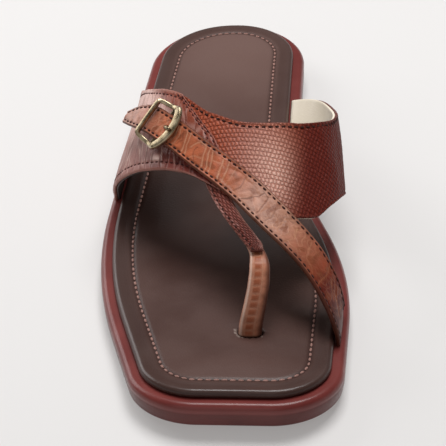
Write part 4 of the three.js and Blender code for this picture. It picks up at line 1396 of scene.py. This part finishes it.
strap = {
    "thickness": 2.2,
    "root": 5.0,
    "rootClear": 0.05,              # above the ledge
    # t and station on the form, height of the underside, half width, from the inner forefoot to the buckle
    "rows": [
        (0, 1, 241.5, -2.2, 10.8), (1, 0.92, 241.8, -2.1, 10.6), (2, 0.852, 239, -1.7, 9.8),
        (3, 0.785, 234.4, -1.1, 9), (4, 0.733, 230.7, -0.5, 8.4), (5, 0.689, 227.3, 0, 8.2),
        (6, 0.637, 222.4, -0.1, 8), (7, 0.59, 217.2, -0.15, 7.9), (8, 0.55, 211.5, -0.15, 7.7),
        (9, 0.514, 205.3, -0.15, 7.4), (10, 0.483, 199.5, -0.1, 7.1), (11, 0.452, 193.7, 0.4, 6.9),
        (12, 0.414, 186.7, 1.1, 6.7), (13, 0.386, 181, 1.8, 6.5), (14, 0.362, 175.9, 2.6, 6.4),
        (15, 0.341, 171.7, 3.4, 6.4), (16, 0.3176, 167, 4, 6.4),
    ],
    "stepsPerRow": 3,
    # reach past the bar, drop, sway to the front, half width
    "tail": [
        (4, 0.2, 0, 6.4), (9, 0.9, 0.5, 6.4), (15, 2.5, 2, 5.6), (20, 4.6, 3.6, 4.4),
        (24.5, 6.6, 5.2, 2.9),
    ],
    "tailTurn": 12,                 # drop that turns the tail by half a right angle
    "loop": (64, 16, 9),
    "rowStep": 0.3,
    "tipFrom": 1.2,
    "tipRows": (1.0, 0.75, 0.5, 0.3, 0.15, 0.05, 0),
    "tipRound": 1.0,
    "edgeRound": 0.8,               # share of half the thickness
    "stitchIn": 1.6,
    "stitched": (9, 2.5),           # from the base, and to the tip
    "threadDepth": 0.2,
    "pitch": 2.85,
    "thread": {"length": 1.95, "width": 0.95, "height": 0.5, "seed": 11, "finish": "darkThread"},
    "cells": {"length": 9.0, "width": 7.0, "jitter": 0.3, "seed": 14},
    "strayAlong": [(0.9, 5, 51), (0.4, 1.9, 53)],
    "strayAcross": [(0.9, 5, 52), (0.4, 1.9, 54)],
    "lineHalves": {"vein": 0.34, "soft": 0.95, "crack": 0.26},
    "heights": {"pillow": -0.22, "soft": -0.2, "crack": -0.16, "wrinkle": 0.1, "sewn": -0.2},
    "sewnHalf": 0.65,
    "pillowHalf": 1.0,
    # fine wrinkles: size, seed and half width of the lines along and askew
    "wrinkles": (4.2, 61, 0.05),
    "askew": (2.7, 62, 0.07),
    "wrinkled": (1.0, 0.6, 0.16),   # at the worn base, at the buckle and all over
    # distances from the base between which the leather is worn, bent by the buckle, or pillowed
    "worn": ((6, 16), (70, 58)),
    "buckled": ((121, 127), (152, 142)),
    "pillowed": ((56, 66), (98, 88)),
    "nearBase": (50, 34),
    "field": (2.0, 3.0),            # from the edge
    "veinField": (1.2, 2.6),
    "uneven": [(0.12, 7, 55)],
    "shades": [(0.35, 6, 56), (0.2, 2, 57)],
    "blotches": (3.4, 58),
    "blotchFrom": (0.06, 0.4),
    "edgeLine": (0.6, 0.4, (10, 40)),   # from the edge, half width, where it comes in along the strap
    "cellShade": 0.25,
    "crown": 0.25,                  # the middle above the edges
    "lip": (0.12, 0.6, 0.6),        # height, distance from the edge, half width
    "hole": (5.0, 1.9, 1.4, 1.7),   # before the bar, half length, half width, depth
    "holeEdge": (0.75, 1.05),
    "sheen": 0.1,
    # distance from the base, then the colour there: the leather's own, with a painted sheen added in the
    # middle, from about 50 to 85
    "tones": [
        (0, 0.06, 0.006, 0.004), (14, 0.075, 0.008, 0.005), (26, 0.118, 0.014, 0.008),
        (35, 0.23, 0.052, 0.026), (47, 0.34, 0.12, 0.07), (60, 0.45, 0.222, 0.153), (77, 0.46, 0.23, 0.16),
        (86, 0.39, 0.13, 0.069), (95, 0.37, 0.099, 0.046), (128, 0.47, 0.132, 0.06),
        (138, 0.4, 0.145, 0.088), (146, 0.46, 0.25, 0.2), (162, 0.5, 0.3, 0.25),
    ],
    # pale veins: strength, then points along and across the strap
    "veins": [
        (0.8, [(115, -5), (117.6, 0), (120, 5.2)]), (0.7, [(113.4, -4.6), (115.8, 0), (117.6, 4.4)]),
        (0.75, [(113, -0.5), (112.5, 2.5), (111.3, 4), (108.5, 4.4), (106.5, 1.5), (105, -1.5),
                (103.1, -5.4)]),
        (0.8, [(100.2, -5.7), (103.3, 0), (106.4, 5.4)]), (0.7, [(98.4, -5.2), (101, 0), (104, 5)]),
        (0.8, [(93.6, -4.8), (95.8, 0), (98.6, 5.7)]), (0.7, [(90.8, -5), (93, 0), (95.6, 5.6)]),
        (0.5, [(101.5, 1), (97, 1.6), (95, 1)]), (0.45, [(111, -5), (109, -2), (106, -1)]),
        (0.6, [(124, -5), (123, -1), (125, 5)]), (0.55, [(121.5, -4.5), (121, 0), (123.5, 4)]),
        (0.35, [(83.5, -5.5), (82, -1), (84, 5)]), (0.4, [(88.5, -5.5), (89.5, 0), (91, 5.4)]),
        (0.4, [(62, -6.5), (58, -3), (59, 2), (56, 6.5)]), (0.45, [(52, -6), (50, -1), (53, 3), (51, 7)]),
        (0.55, [(33, -7), (36, -4.5), (40.5, -3)]), (0.5, [(40.5, -3), (43, 0.5), (45, 5)]),
        (0.6, [(29.5, -7), (30, -1), (30.8, 3), (32.5, 7)]), (0.65, [(14, -2), (18, -0.5), (23, 2)]),
        (0.6, [(20, -1.5), (24.5, 1), (28, 3.4)]), (0.5, [(23, 2.5), (26, 4.4), (29, 6)]),
        (0.5, [(9, 0), (13, 2), (18, 4.5)]), (0.5, [(127.5, -5), (130, -2), (128.6, 1.5)]),
        (0.55, [(131.5, 4.5), (130.6, 1.5), (133, -2.5)]), (0.4, [(136, -4.5), (134.6, 0), (137, 4)]),
        (0.4, [(145, -4), (149, 0), (148, 4)]), (0.35, [(152, -3), (154, 2)]),
    ],
    # dark cracks, in the same way
    "cracks": [
        (0.8, [(78.7, -4.8), (76, -1.5), (74.6, 1.5), (74.2, 4.4)]),
        (0.6, [(78.9, 5.3), (75, 4.8), (71.5, 4.3), (70, 1.5), (69.6, -1.3), (69, -5)]),
        (0.5, [(84.5, -5), (83, -1), (84.5, 4)]), (0.4, [(64, -6), (63, -2), (65, 3), (64, 6)]),
        (0.5, [(120, -3.5), (119, 0), (121, 3)]), (0.5, [(108, -4), (110.5, -1.5), (111, 1)]),
        (0.6, [(125.5, 3), (129, 4), (131.6, 2.8)]), (0.5, [(132.5, -4.6), (135, -3.6), (138, -4.2)]),
    ],
    "colours": {
        "vein": (0.6, 0.3, 0.18), "baseVein": (0.36, 0.125, 0.062), "edge": (0.5, 0.29, 0.21),
        "crack": (0.07, 0.022, 0.013), "blotch": (0.19, 0.052, 0.022),
    },
}


def strapLine():
    # middle points, directions and half widths from below the ledge to the tail's tip
    u = np.arange(strap["stepsPerRow"] * (len(strap["rows"]) - 1) + 1) / strap["stepsPerRow"]
    t, s, under, half = (column(u) for column in smoothColumns(strap["rows"]))
    middle = offForm(t, s, under + strap["thickness"] / 2)
    up = formOut(t, s)
    foot = middle[0] + unit(middle[0] - middle[1]) * strap["root"]
    bar = middle[-1]
    onward = unit(bar - middle[-4])
    barUp = unit(up[-1] - onward * (up[-1] @ onward))
    barFront = np.cross(barUp, onward)
    tail, tailUp, tailHalf = [], [], []
    for reach, drop, sway, wide in strap["tail"]:
        tail.append(bar + onward * reach - barUp * drop + barFront * sway)
        tailUp.append(unit(barUp + onward * drop / strap["tailTurn"]))
        tailHalf.append(wide)
    barIndex = len(middle)
    middle = np.concatenate([[foot], middle, tail])
    up = np.concatenate([up[:1], up, tailUp])
    half = np.concatenate([half[:1], half, tailHalf])
    ends = np.concatenate([middle[:1], middle, middle[-1:]])
    along = unit(ends[2:] - ends[:-2])
    across = unit(np.cross(along, up))
    up = unit(np.cross(across, along))
    return middle, half, up, barIndex, (middle[barIndex], along[barIndex], across[barIndex], up[barIndex])


strapMiddle, strapHalf, strapUp, barIndex, (buckleAt, buckleAlong, buckleAcross, buckleUp) = strapLine()


def offLine(line, sides, ups, aside, height):
    # points beside and above each point of a line
    return line[:, None] + sides[:, None] * aside[..., None] + ups[:, None] * height[..., None]


def makeStrap():
    at = lengthsAlong(strapMiddle)
    long = at[-1]
    wanted = np.concatenate([
        np.arange(0, long - strap["tipFrom"], strap["rowStep"]), long - np.array(strap["tipRows"]),
    ])
    middle = throughPoints(strapMiddle, wanted)
    half = np.interp(wanted, at, strapHalf)
    along = unit(np.gradient(middle, wanted, axis=0))
    across = unit(np.cross(along, unit(readAlong(wanted, at, strapUp))))
    up = unit(np.cross(across, along))
    share, rise, bulge = edgeLoop(*strap["loop"])
    thick = strap["thickness"]
    edgeRound = thick / 2 * strap["edgeRound"]
    aside = (2 * share - 1) * (half[:, None] - edgeRound) + bulge * edgeRound
    run = np.repeat(wanted[:, None], len(share), 1)
    fromEdge = half[:, None] - np.abs(aside)
    inField = smoothStep(*strap["field"], fromEdge)
    p = run + strays(run, aside, strap["strayAlong"])
    q = aside + strays(run, aside, strap["strayAcross"])
    gap, tone = scaleCells(p, q, strap["cells"])
    lineHalves, heights = strap["lineHalves"], strap["heights"]
    veinField = smoothStep(*strap["veinField"], fromEdge)
    veins = drawnLines(p, q, strap["veins"], lineHalves["vein"]) * veinField
    soft = drawnLines(p, q, strap["veins"], lineHalves["soft"]) * inField
    cracks = drawnLines(p, q, strap["cracks"], lineHalves["crack"]) * inField
    size, seed, lineHalf = strap["wrinkles"]
    wrinkles = bell(softNoise(run, aside, size, seed), lineHalf)
    size, seed, lineHalf = strap["askew"]
    wrinkles = np.maximum(wrinkles, 0.7 * bell(softNoise(run + aside, aside * 1.4, size, seed), lineHalf))
    atBase, atBuckle, allOver = strap["wrinkled"]
    wrinkled = atBase * within(*strap["worn"], run) + atBuckle * within(*strap["buckled"], run) + allOver
    wrinkles = wrinkles * inField * wrinkled
    raised = {
        "pillow": bell(gap, strap["pillowHalf"]) * within(*strap["pillowed"], run) * inField,
        "soft": soft * inField, "crack": cracks * inField, "wrinkle": wrinkles * inField,
        "sewn": bell(fromEdge - strap["stitchIn"], strap["sewnHalf"]),
    }
    lip, lipAt, lipHalf = strap["lip"]
    relief = (
        sum(heights[key] * raised[key] for key in raised) + lip * bell(fromEdge - lipAt, lipHalf)
        + strays(run, aside, strap["uneven"]) * inField - strap["crown"] * (aside / half[:, None]) ** 2
    )
    before, holeLong, holeWide, holeDepth = strap["hole"]
    hole = np.hypot((run - at[barIndex] + before) / holeLong, aside / holeWide)
    hole = (1 - smoothStep(*strap["holeEdge"], hole)) * (rise > 0.9)
    fall = roundOff((long - run) / strap["tipRound"], 0.02)
    height = thick * (rise - 0.5) * fall + relief * smoothStep(0.6, 1.0, rise) - holeDepth * hole
    tones = np.array(strap["tones"])
    shade = 1 + strays(run, aside, strap["shades"]) + strap["cellShade"] * (tone - 0.5)
    nearBase = smoothStep(*strap["nearBase"], run)
    blotches = smoothStep(*strap["blotchFrom"], softNoise(run, aside, *strap["blotches"]))
    edgeAt, edgeHalf, edgeFrom = strap["edgeLine"]
    edge = bell(fromEdge - edgeAt, edgeHalf) * (rise > 0.95) * smoothStep(*edgeFrom, run)
    # the tones carry a painted sheen in the middle
    skin = painted(readAlong(run, tones[:, 0], tones[:, 1:]) * shade[..., None], strap["colours"], [
        ("blotch", 0.4 * soft + 0.58 * blotches),
        ("vein", (0.8 * veins + 0.3 * wrinkles) * (1 - nearBase)),
        ("baseVein", (0.75 * veins + 0.25 * wrinkles) * nearBase),
        # the hole is painted crack-dark as its shade
        ("crack", 0.85 * cracks + hole),
        ("edge", 0.2 * edge),
        # the side walls painted dark: a dyed edge with painted shade
        ("crack", 0.8 * smoothStep(0.02, 0.4, np.abs(bulge))),
    ])
    piece = newPiece(
        "cross_strap", offLine(middle, across, up, aside, height), tubeFaces(len(wanted), len(share)),
        crocFinish("crocStrap", strap["sheen"]), {"skin": np.clip(skin, 0, 1)},
    )
    cutAtLedge(piece, strap["rows"][0][2], strap["rootClear"])
    settle(piece, "upper", "upper")
    fromBase, toTip = strap["stitched"]
    keep = (wanted > fromBase) & (wanted < long - toTip)
    rows = []
    for sign in (-1, 1):
        line = middle + across * (sign * (half - strap["stitchIn"]))[:, None]
        line = line + up * (thick / 2 - strap["threadDepth"])
        rows.append(alongRow(line[keep], up[keep], strap["pitch"]))
    sewn("strap_stitches", rows, strap["thread"], "upper", "upper")


# Toe post

post = {
    # x, station, height, half width, half thickness
    "rows": [
        (15.2, 248.2, 11.85, 4.9, 3), (15.8, 247.2, 19, 4.9, 2.9), (17.8, 243.6, 28, 4.7, 2.8),
        (19.3, 239, 35.5, 4.5, 2.6), (19.5, 234.2, 39.8, 4.2, 2.2), (18.5, 228.5, 41.6, 3.4, 1.4),
        (15.4, 222.5, 43.8, 3, 1.1),
    ],
    "around": 96,
    "squareness": 0.62,
    "steps": 110,
    "scalePitch": 3.0,
    "columnAt": 0.12,               # of the scales, towards the outer side, in half widths
    "columnEdge": (0.38, 0.25),     # from the column's middle, in half widths
    "columnFrom": (2, 6),           # along the post
    "gapHalf": 0.17,                # of a pitch
    "beside": (0.42, 0.08),         # distance from the column's middle, half width
    "front": (0.1, 0.6),
    # where painted shade on the inner and rear sides comes in
    "innerSide": (0.45, 0.9),
    "rearShade": (-0.2, 0.4),
    "highlightLine": (0.82, 0.12),       # painted highlight on the outer side, half width
    "highlightFront": (0.3, -0.4),
    # painted shade at the foot, where the post enters the slot
    "footShadeTo": (4.0, 3.0),
    "heights": (0.16, 0.12),        # between the scales and beside them
    "shades": [(0.4, 3, 41), (0.25, 1.1, 42)],
    "sheen": 0.12,
    "colours": {
        # side and foot are painted shade, pale a painted highlight
        "skin": (0.43, 0.175, 0.105), "scale": (0.32, 0.085, 0.036), "gap": (0.5, 0.25, 0.16),
        "pale": (0.76, 0.56, 0.46), "side": (0.09, 0.03, 0.02), "foot": (0.05, 0.02, 0.014),
    },
}


def roundSquare(count, power):
    # a closed section between a circle (power 1) and a square (power 0): across and up
    angles = np.linspace(0, 2 * math.pi, count, endpoint=False)
    across, up = np.cos(angles), np.sin(angles)
    return np.sign(across) * np.abs(across) ** power, np.sign(up) * np.abs(up) ** power


def makePost():
    rows = np.array(post["rows"], float)
    middle = place(*rows[:, :3].T)
    at = lengthsAlong(middle)
    wanted = np.linspace(0, at[-1], post["steps"])
    line = throughPoints(middle, wanted)
    wide, thick = readAlong(wanted, at, rows[:, 3:]).T
    side = np.tile([1.0, 0, 0], (len(wanted), 1))
    up = unit(np.cross(unit(np.gradient(line, wanted, axis=0)), side))
    a, b = roundSquare(post["around"], post["squareness"])
    aside = a * wide[:, None]
    run = np.repeat(wanted[:, None], len(a), 1)
    front = smoothStep(*post["front"], -b)
    fromColumn = np.abs(a + post["columnAt"])
    column = smoothStep(*post["columnEdge"], fromColumn) * front * smoothStep(*post["columnFrom"], run)
    between = bell((run / post["scalePitch"] + 0.5) % 1 - 0.5, post["gapHalf"])
    besideAt, besideHalf = post["beside"]
    beside = bell(fromColumn - besideAt, besideHalf) * front
    riseBetween, riseBeside = post["heights"]
    height = b * thick[:, None] + riseBetween * column * between + riseBeside * beside
    paleAt, paleHalf = post["highlightLine"]
    colours = post["colours"]
    shade = 1 + strays(run, aside, post["shades"])
    skin = painted(shade[..., None] * colours["skin"], colours, [
        ("scale", 0.85 * column * (1 - between)),
        ("gap", 0.45 * beside + 0.25 * column * between),
        # painted shade on the inner and rear sides
        ("side", 0.85 * smoothStep(*post["innerSide"], a) + 0.6 * smoothStep(*post["rearShade"], b)),
        # painted highlight along the outer side
        ("pale", 0.75 * bell(a + paleAt, paleHalf) * smoothStep(*post["highlightFront"], b)),
        # painted shade at the foot
        ("foot", smoothStep(*post["footShadeTo"], run)),
    ])
    piece = newPiece(
        "post_wrap", offLine(line, side, up, aside, height), tubeFaces(len(wanted), len(a)),
        crocFinish("postLeather", post["sheen"]), {"skin": np.clip(skin, 0, 1)},
    )
    settle(piece, "toe_post", "toe_post")


# Buckle

buckle = {
    "rise": 2.75,
    "dip": 3.3,
    "shoulder": 6.0,
    "halfThick": 1.1,
    "steps": 260,
    "smoothings": 10,
    "section": (28, 0.55),          # points round it, squareness
    # along and across the strap, half width of the cast frame: one side, from the straight side to the bow
    "plan": [
        (6.4, 0, 0.95), (6.4, 4.2, 0.95), (6.4, 7.4, 0.95), (6, 8.5, 0.95), (4.9, 9, 0.95),
        (2.4, 9.25, 1), (0, 9.5, 1.05), (-2.6, 9.8, 1.15), (-4.8, 9.9, 1.3), (-6.5, 9.3, 1.55),
        (-8, 7, 1.75), (-9.2, 3.7, 1.9),
    ],
    "bow": (-9.7, 0, 1.95),
    "barReach": (-9.5, 9.5, 30),
    "barRadius": 0.8,
    "barClear": 0.3,
    "barSection": (16, 1.0),
    # tarnish of the frame's underside, the bar and the prong
    "tarnish": (0.75, 0.7, 0.15),
    "tones": ((0.26, 0.2, 0.12), (0.5, 0.41, 0.27)),
    "tarnished": (0.12, 0.075, 0.045),
}
prong = {
    # along and up from the bar's middle
    "line": [
        (-1.95, -2.3), (-3.4, -2.3), (-4.6, -1.5), (-5.3, 0.3), (-6.1, 2.2), (-7.4, 4.5), (-9.2, 5.25),
        (-11, 5.2),
    ],
    "radius": 0.8,
    "section": (18, 1.0),
    "steps": 60,
    "tipFrom": 0.5,
    "tipRows": (0.35, 0.2, 0.1, 0.03),
    "tipRound": 0.7,
}


def brassFinish():
    finish, tree = newFinish("agedBrass")
    spot = objectPlace(tree)
    cloud = noise(tree, spot, 260.0, 5.0)
    pits = noise(tree, spot, 2400.0, 2.0)
    bright = mixed(tree, ranged(tree, cloud, 0.35, 0.65), *buckle["tones"])
    return dressed(finish, {
        "Base Color": mixed(tree, pointValue(tree, "tarnish"), bright, buckle["tarnished"]),
        "Roughness": ranged(tree, cloud, 0.3, 0.7, 0.24, 0.4),
        "Normal": bumped(tree, pits, 0.00004),
        "Metallic": 1.0,
    })


def onBuckle(along, across, up):
    along, across, up = (np.asarray(value, float)[..., None] for value in (along, across, up))
    return buckleAt + along * buckleAlong + across * buckleAcross + up * buckleUp


def sweep(line, sides, ups, wide, thick, section, closed=False):
    # a section carried along a line
    a, b = section
    sides, ups = np.broadcast_to(sides, line.shape), np.broadcast_to(ups, line.shape)
    wide, thick = (np.broadcast_to(value, len(line))[:, None] for value in (wide, thick))
    made = offLine(line, sides, ups, a * wide, b * thick)
    faces = ringFaces(len(line), len(a), True) if closed else tubeFaces(len(line), len(a))
    return made.reshape(-1, 3), faces


def makeBuckle():
    otherSide = [(along, -across, half) for along, across, half in buckle["plan"][:0:-1]]
    loop = np.array(buckle["plan"] + [buckle["bow"]] + otherSide + buckle["plan"][:1], float)
    at = lengthsAlong(loop[:, :2])
    fine = readAlong(np.linspace(0, at[-1], buckle["steps"], endpoint=False), at, loop)
    for _ in range(buckle["smoothings"]):
        fine = 0.25 * np.roll(fine, 1, axis=0) + 0.5 * fine + 0.25 * np.roll(fine, -1, axis=0)
    along, across, half = fine.T
    run = unit(np.roll(fine[:, :2], -1, axis=0) - np.roll(fine[:, :2], 1, axis=0))
    fromMiddle = np.minimum(1, np.abs(along) / buckle["shoulder"])
    line = onBuckle(along, across, buckle["rise"] - buckle["dip"] * (1 - fromMiddle**2))
    sides = run[:, 1:2] * buckleAlong - run[:, 0:1] * buckleAcross
    section = roundSquare(*buckle["section"])
    points, faces = sweep(line, sides, buckleUp, half, buckle["halfThick"], section, True)
    underside, barTarnish, prongTarnish = buckle["tarnish"]
    tarnish = np.tile(underside * smoothStep(0.1, -0.6, section[1]), len(fine))
    radius = buckle["barRadius"]
    barRise = -strap["thickness"] / 2 - buckle["barClear"] - radius
    bar = onBuckle(0, np.linspace(*buckle["barReach"]), barRise)
    barSection = roundSquare(*buckle["barSection"])
    barPoints, barFaces = sweep(bar, buckleAlong, buckleUp, radius, radius, barSection)
    faces += [[len(points) + corner for corner in face] for face in barFaces]
    brass = brassFinish()
    piece = newPiece("buckle_cast", np.concatenate([points, barPoints]), faces, brass, {
        "tarnish": np.concatenate([tarnish, np.full(len(barPoints), barTarnish)]),
    })
    settle(piece, "buckle", "buckle_frame")

    bent = np.array(prong["line"], float)
    long = lengthsAlong(bent)[-1]
    wanted = np.concatenate([
        np.linspace(0, long - prong["tipFrom"], prong["steps"]), long - np.array(prong["tipRows"]),
    ])
    fine = throughPoints(bent, wanted)
    run = unit(np.gradient(fine, wanted, axis=0))
    ups = -run[:, 1:2] * buckleAlong + run[:, 0:1] * buckleUp
    radius = roundOff((long - wanted) / prong["tipRound"], 0.02) * prong["radius"]
    line = onBuckle(fine[:, 0], 0, fine[:, 1])
    points, faces = sweep(line, buckleAcross, ups, radius, radius, roundSquare(*prong["section"]))
    piece = newPiece("prong_pin", points, faces, brass, {"tarnish": np.full(len(points), prongTarnish)})
    settle(piece, "buckle", "buckle_prong")


# Studio

studio = {
    "floorSize": 6.0,
    "floorTone": (0.5, 0.49, 0.484),
    "floorLow": 0.985,              # share of the tone in the darker clouds
    "floorGlow": (0.27, 0.264, 0.26, 1),
    "world": ((1, 0.985, 0.975, 1), 0.16),
    # place, aim, size and power of each softbox
    "softboxes": [
        ((0.1, 0.3, 1.1), (0, 0, 0.03), 0.6, 12.5),
        ((-0.8, 0.6, 0.5), (0, 0, 0.04), 0.7, 5.0),
        ((-0.3, -1.1, 0.6), (0, 0, 0), 1.0, 1.7),
    ],
}
camera = {
    "eye": (0.05769, -0.74716, 0.54649),
    "pitch": 37.0,          # degrees down
    "turn": (3.74, 0.73),   # degrees left and up from the middle of the whole picture
    "lens": 163.0,
    "sensor": 36.0,
    "clipEnd": 20,
}


def floorFinish():
    finish, tree = newFinish("paperFloor")
    low = tuple(tone * studio["floorLow"] for tone in studio["floorTone"])
    cloud = noise(tree, objectPlace(tree), 3.0, 2.0)
    return dressed(finish, {
        "Base Color": mixed(tree, cloud, low, studio["floorTone"]),
        "Emission Color": studio["floorGlow"], "Emission Strength": 1.0,
        "Roughness": 0.7, "Specular IOR Level": 0.2,
    })


def makeStudio():
    half = studio["floorSize"] / 2
    mesh = bpy.data.meshes.new("paper_floor")
    corners = [(-half, -half, 0), (half, -half, 0), (half, half, 0), (-half, half, 0)]
    mesh.from_pydata(corners, [], [(0, 1, 2, 3)])
    mesh.materials.append(floorFinish())
    newObject("paper_floor", mesh)
    for at, aim, size, power in studio["softboxes"]:
        lamp = bpy.data.lights.new("softbox", "AREA")
        lamp.shape = "SQUARE"
        lamp.size = size
        lamp.energy = power
        holder = newObject("softbox", lamp)
        holder.location = at
        holder.rotation_euler = (Vector(aim) - Vector(at)).to_track_quat("-Z", "Y").to_euler()
    world = bpy.data.worlds.new("studio")
    world.use_nodes = True
    feed(world.node_tree, world.node_tree.nodes["Background"], dict(enumerate(studio["world"])))
    bpy.context.scene.world = world
    bpy.context.scene.view_settings.view_transform = "Standard"


def makeCamera():
    lens = bpy.data.cameras.new("slipperView")
    lens.lens = camera["lens"]
    lens.sensor_width = camera["sensor"]
    lens.clip_end = camera["clipEnd"]
    view = newObject("slipperView", lens)
    left, up = camera["turn"]
    turned = Matrix.Translation(camera["eye"])
    for angle, axis in ((90 - camera["pitch"], "X"), (left, "Y"), (up, "X")):
        turned = turned @ Matrix.Rotation(math.radians(angle), 4, axis)
    view.matrix_world = turned
    bpy.context.scene.camera = view


makeCamera()
makeStudio()
makeSole()
makeInsole()
makeBand()
makeLining()
sewBand()
makePanel()
makeTongue()
makeStrap()
makePost()
makeBuckle()

print("all pieces made")
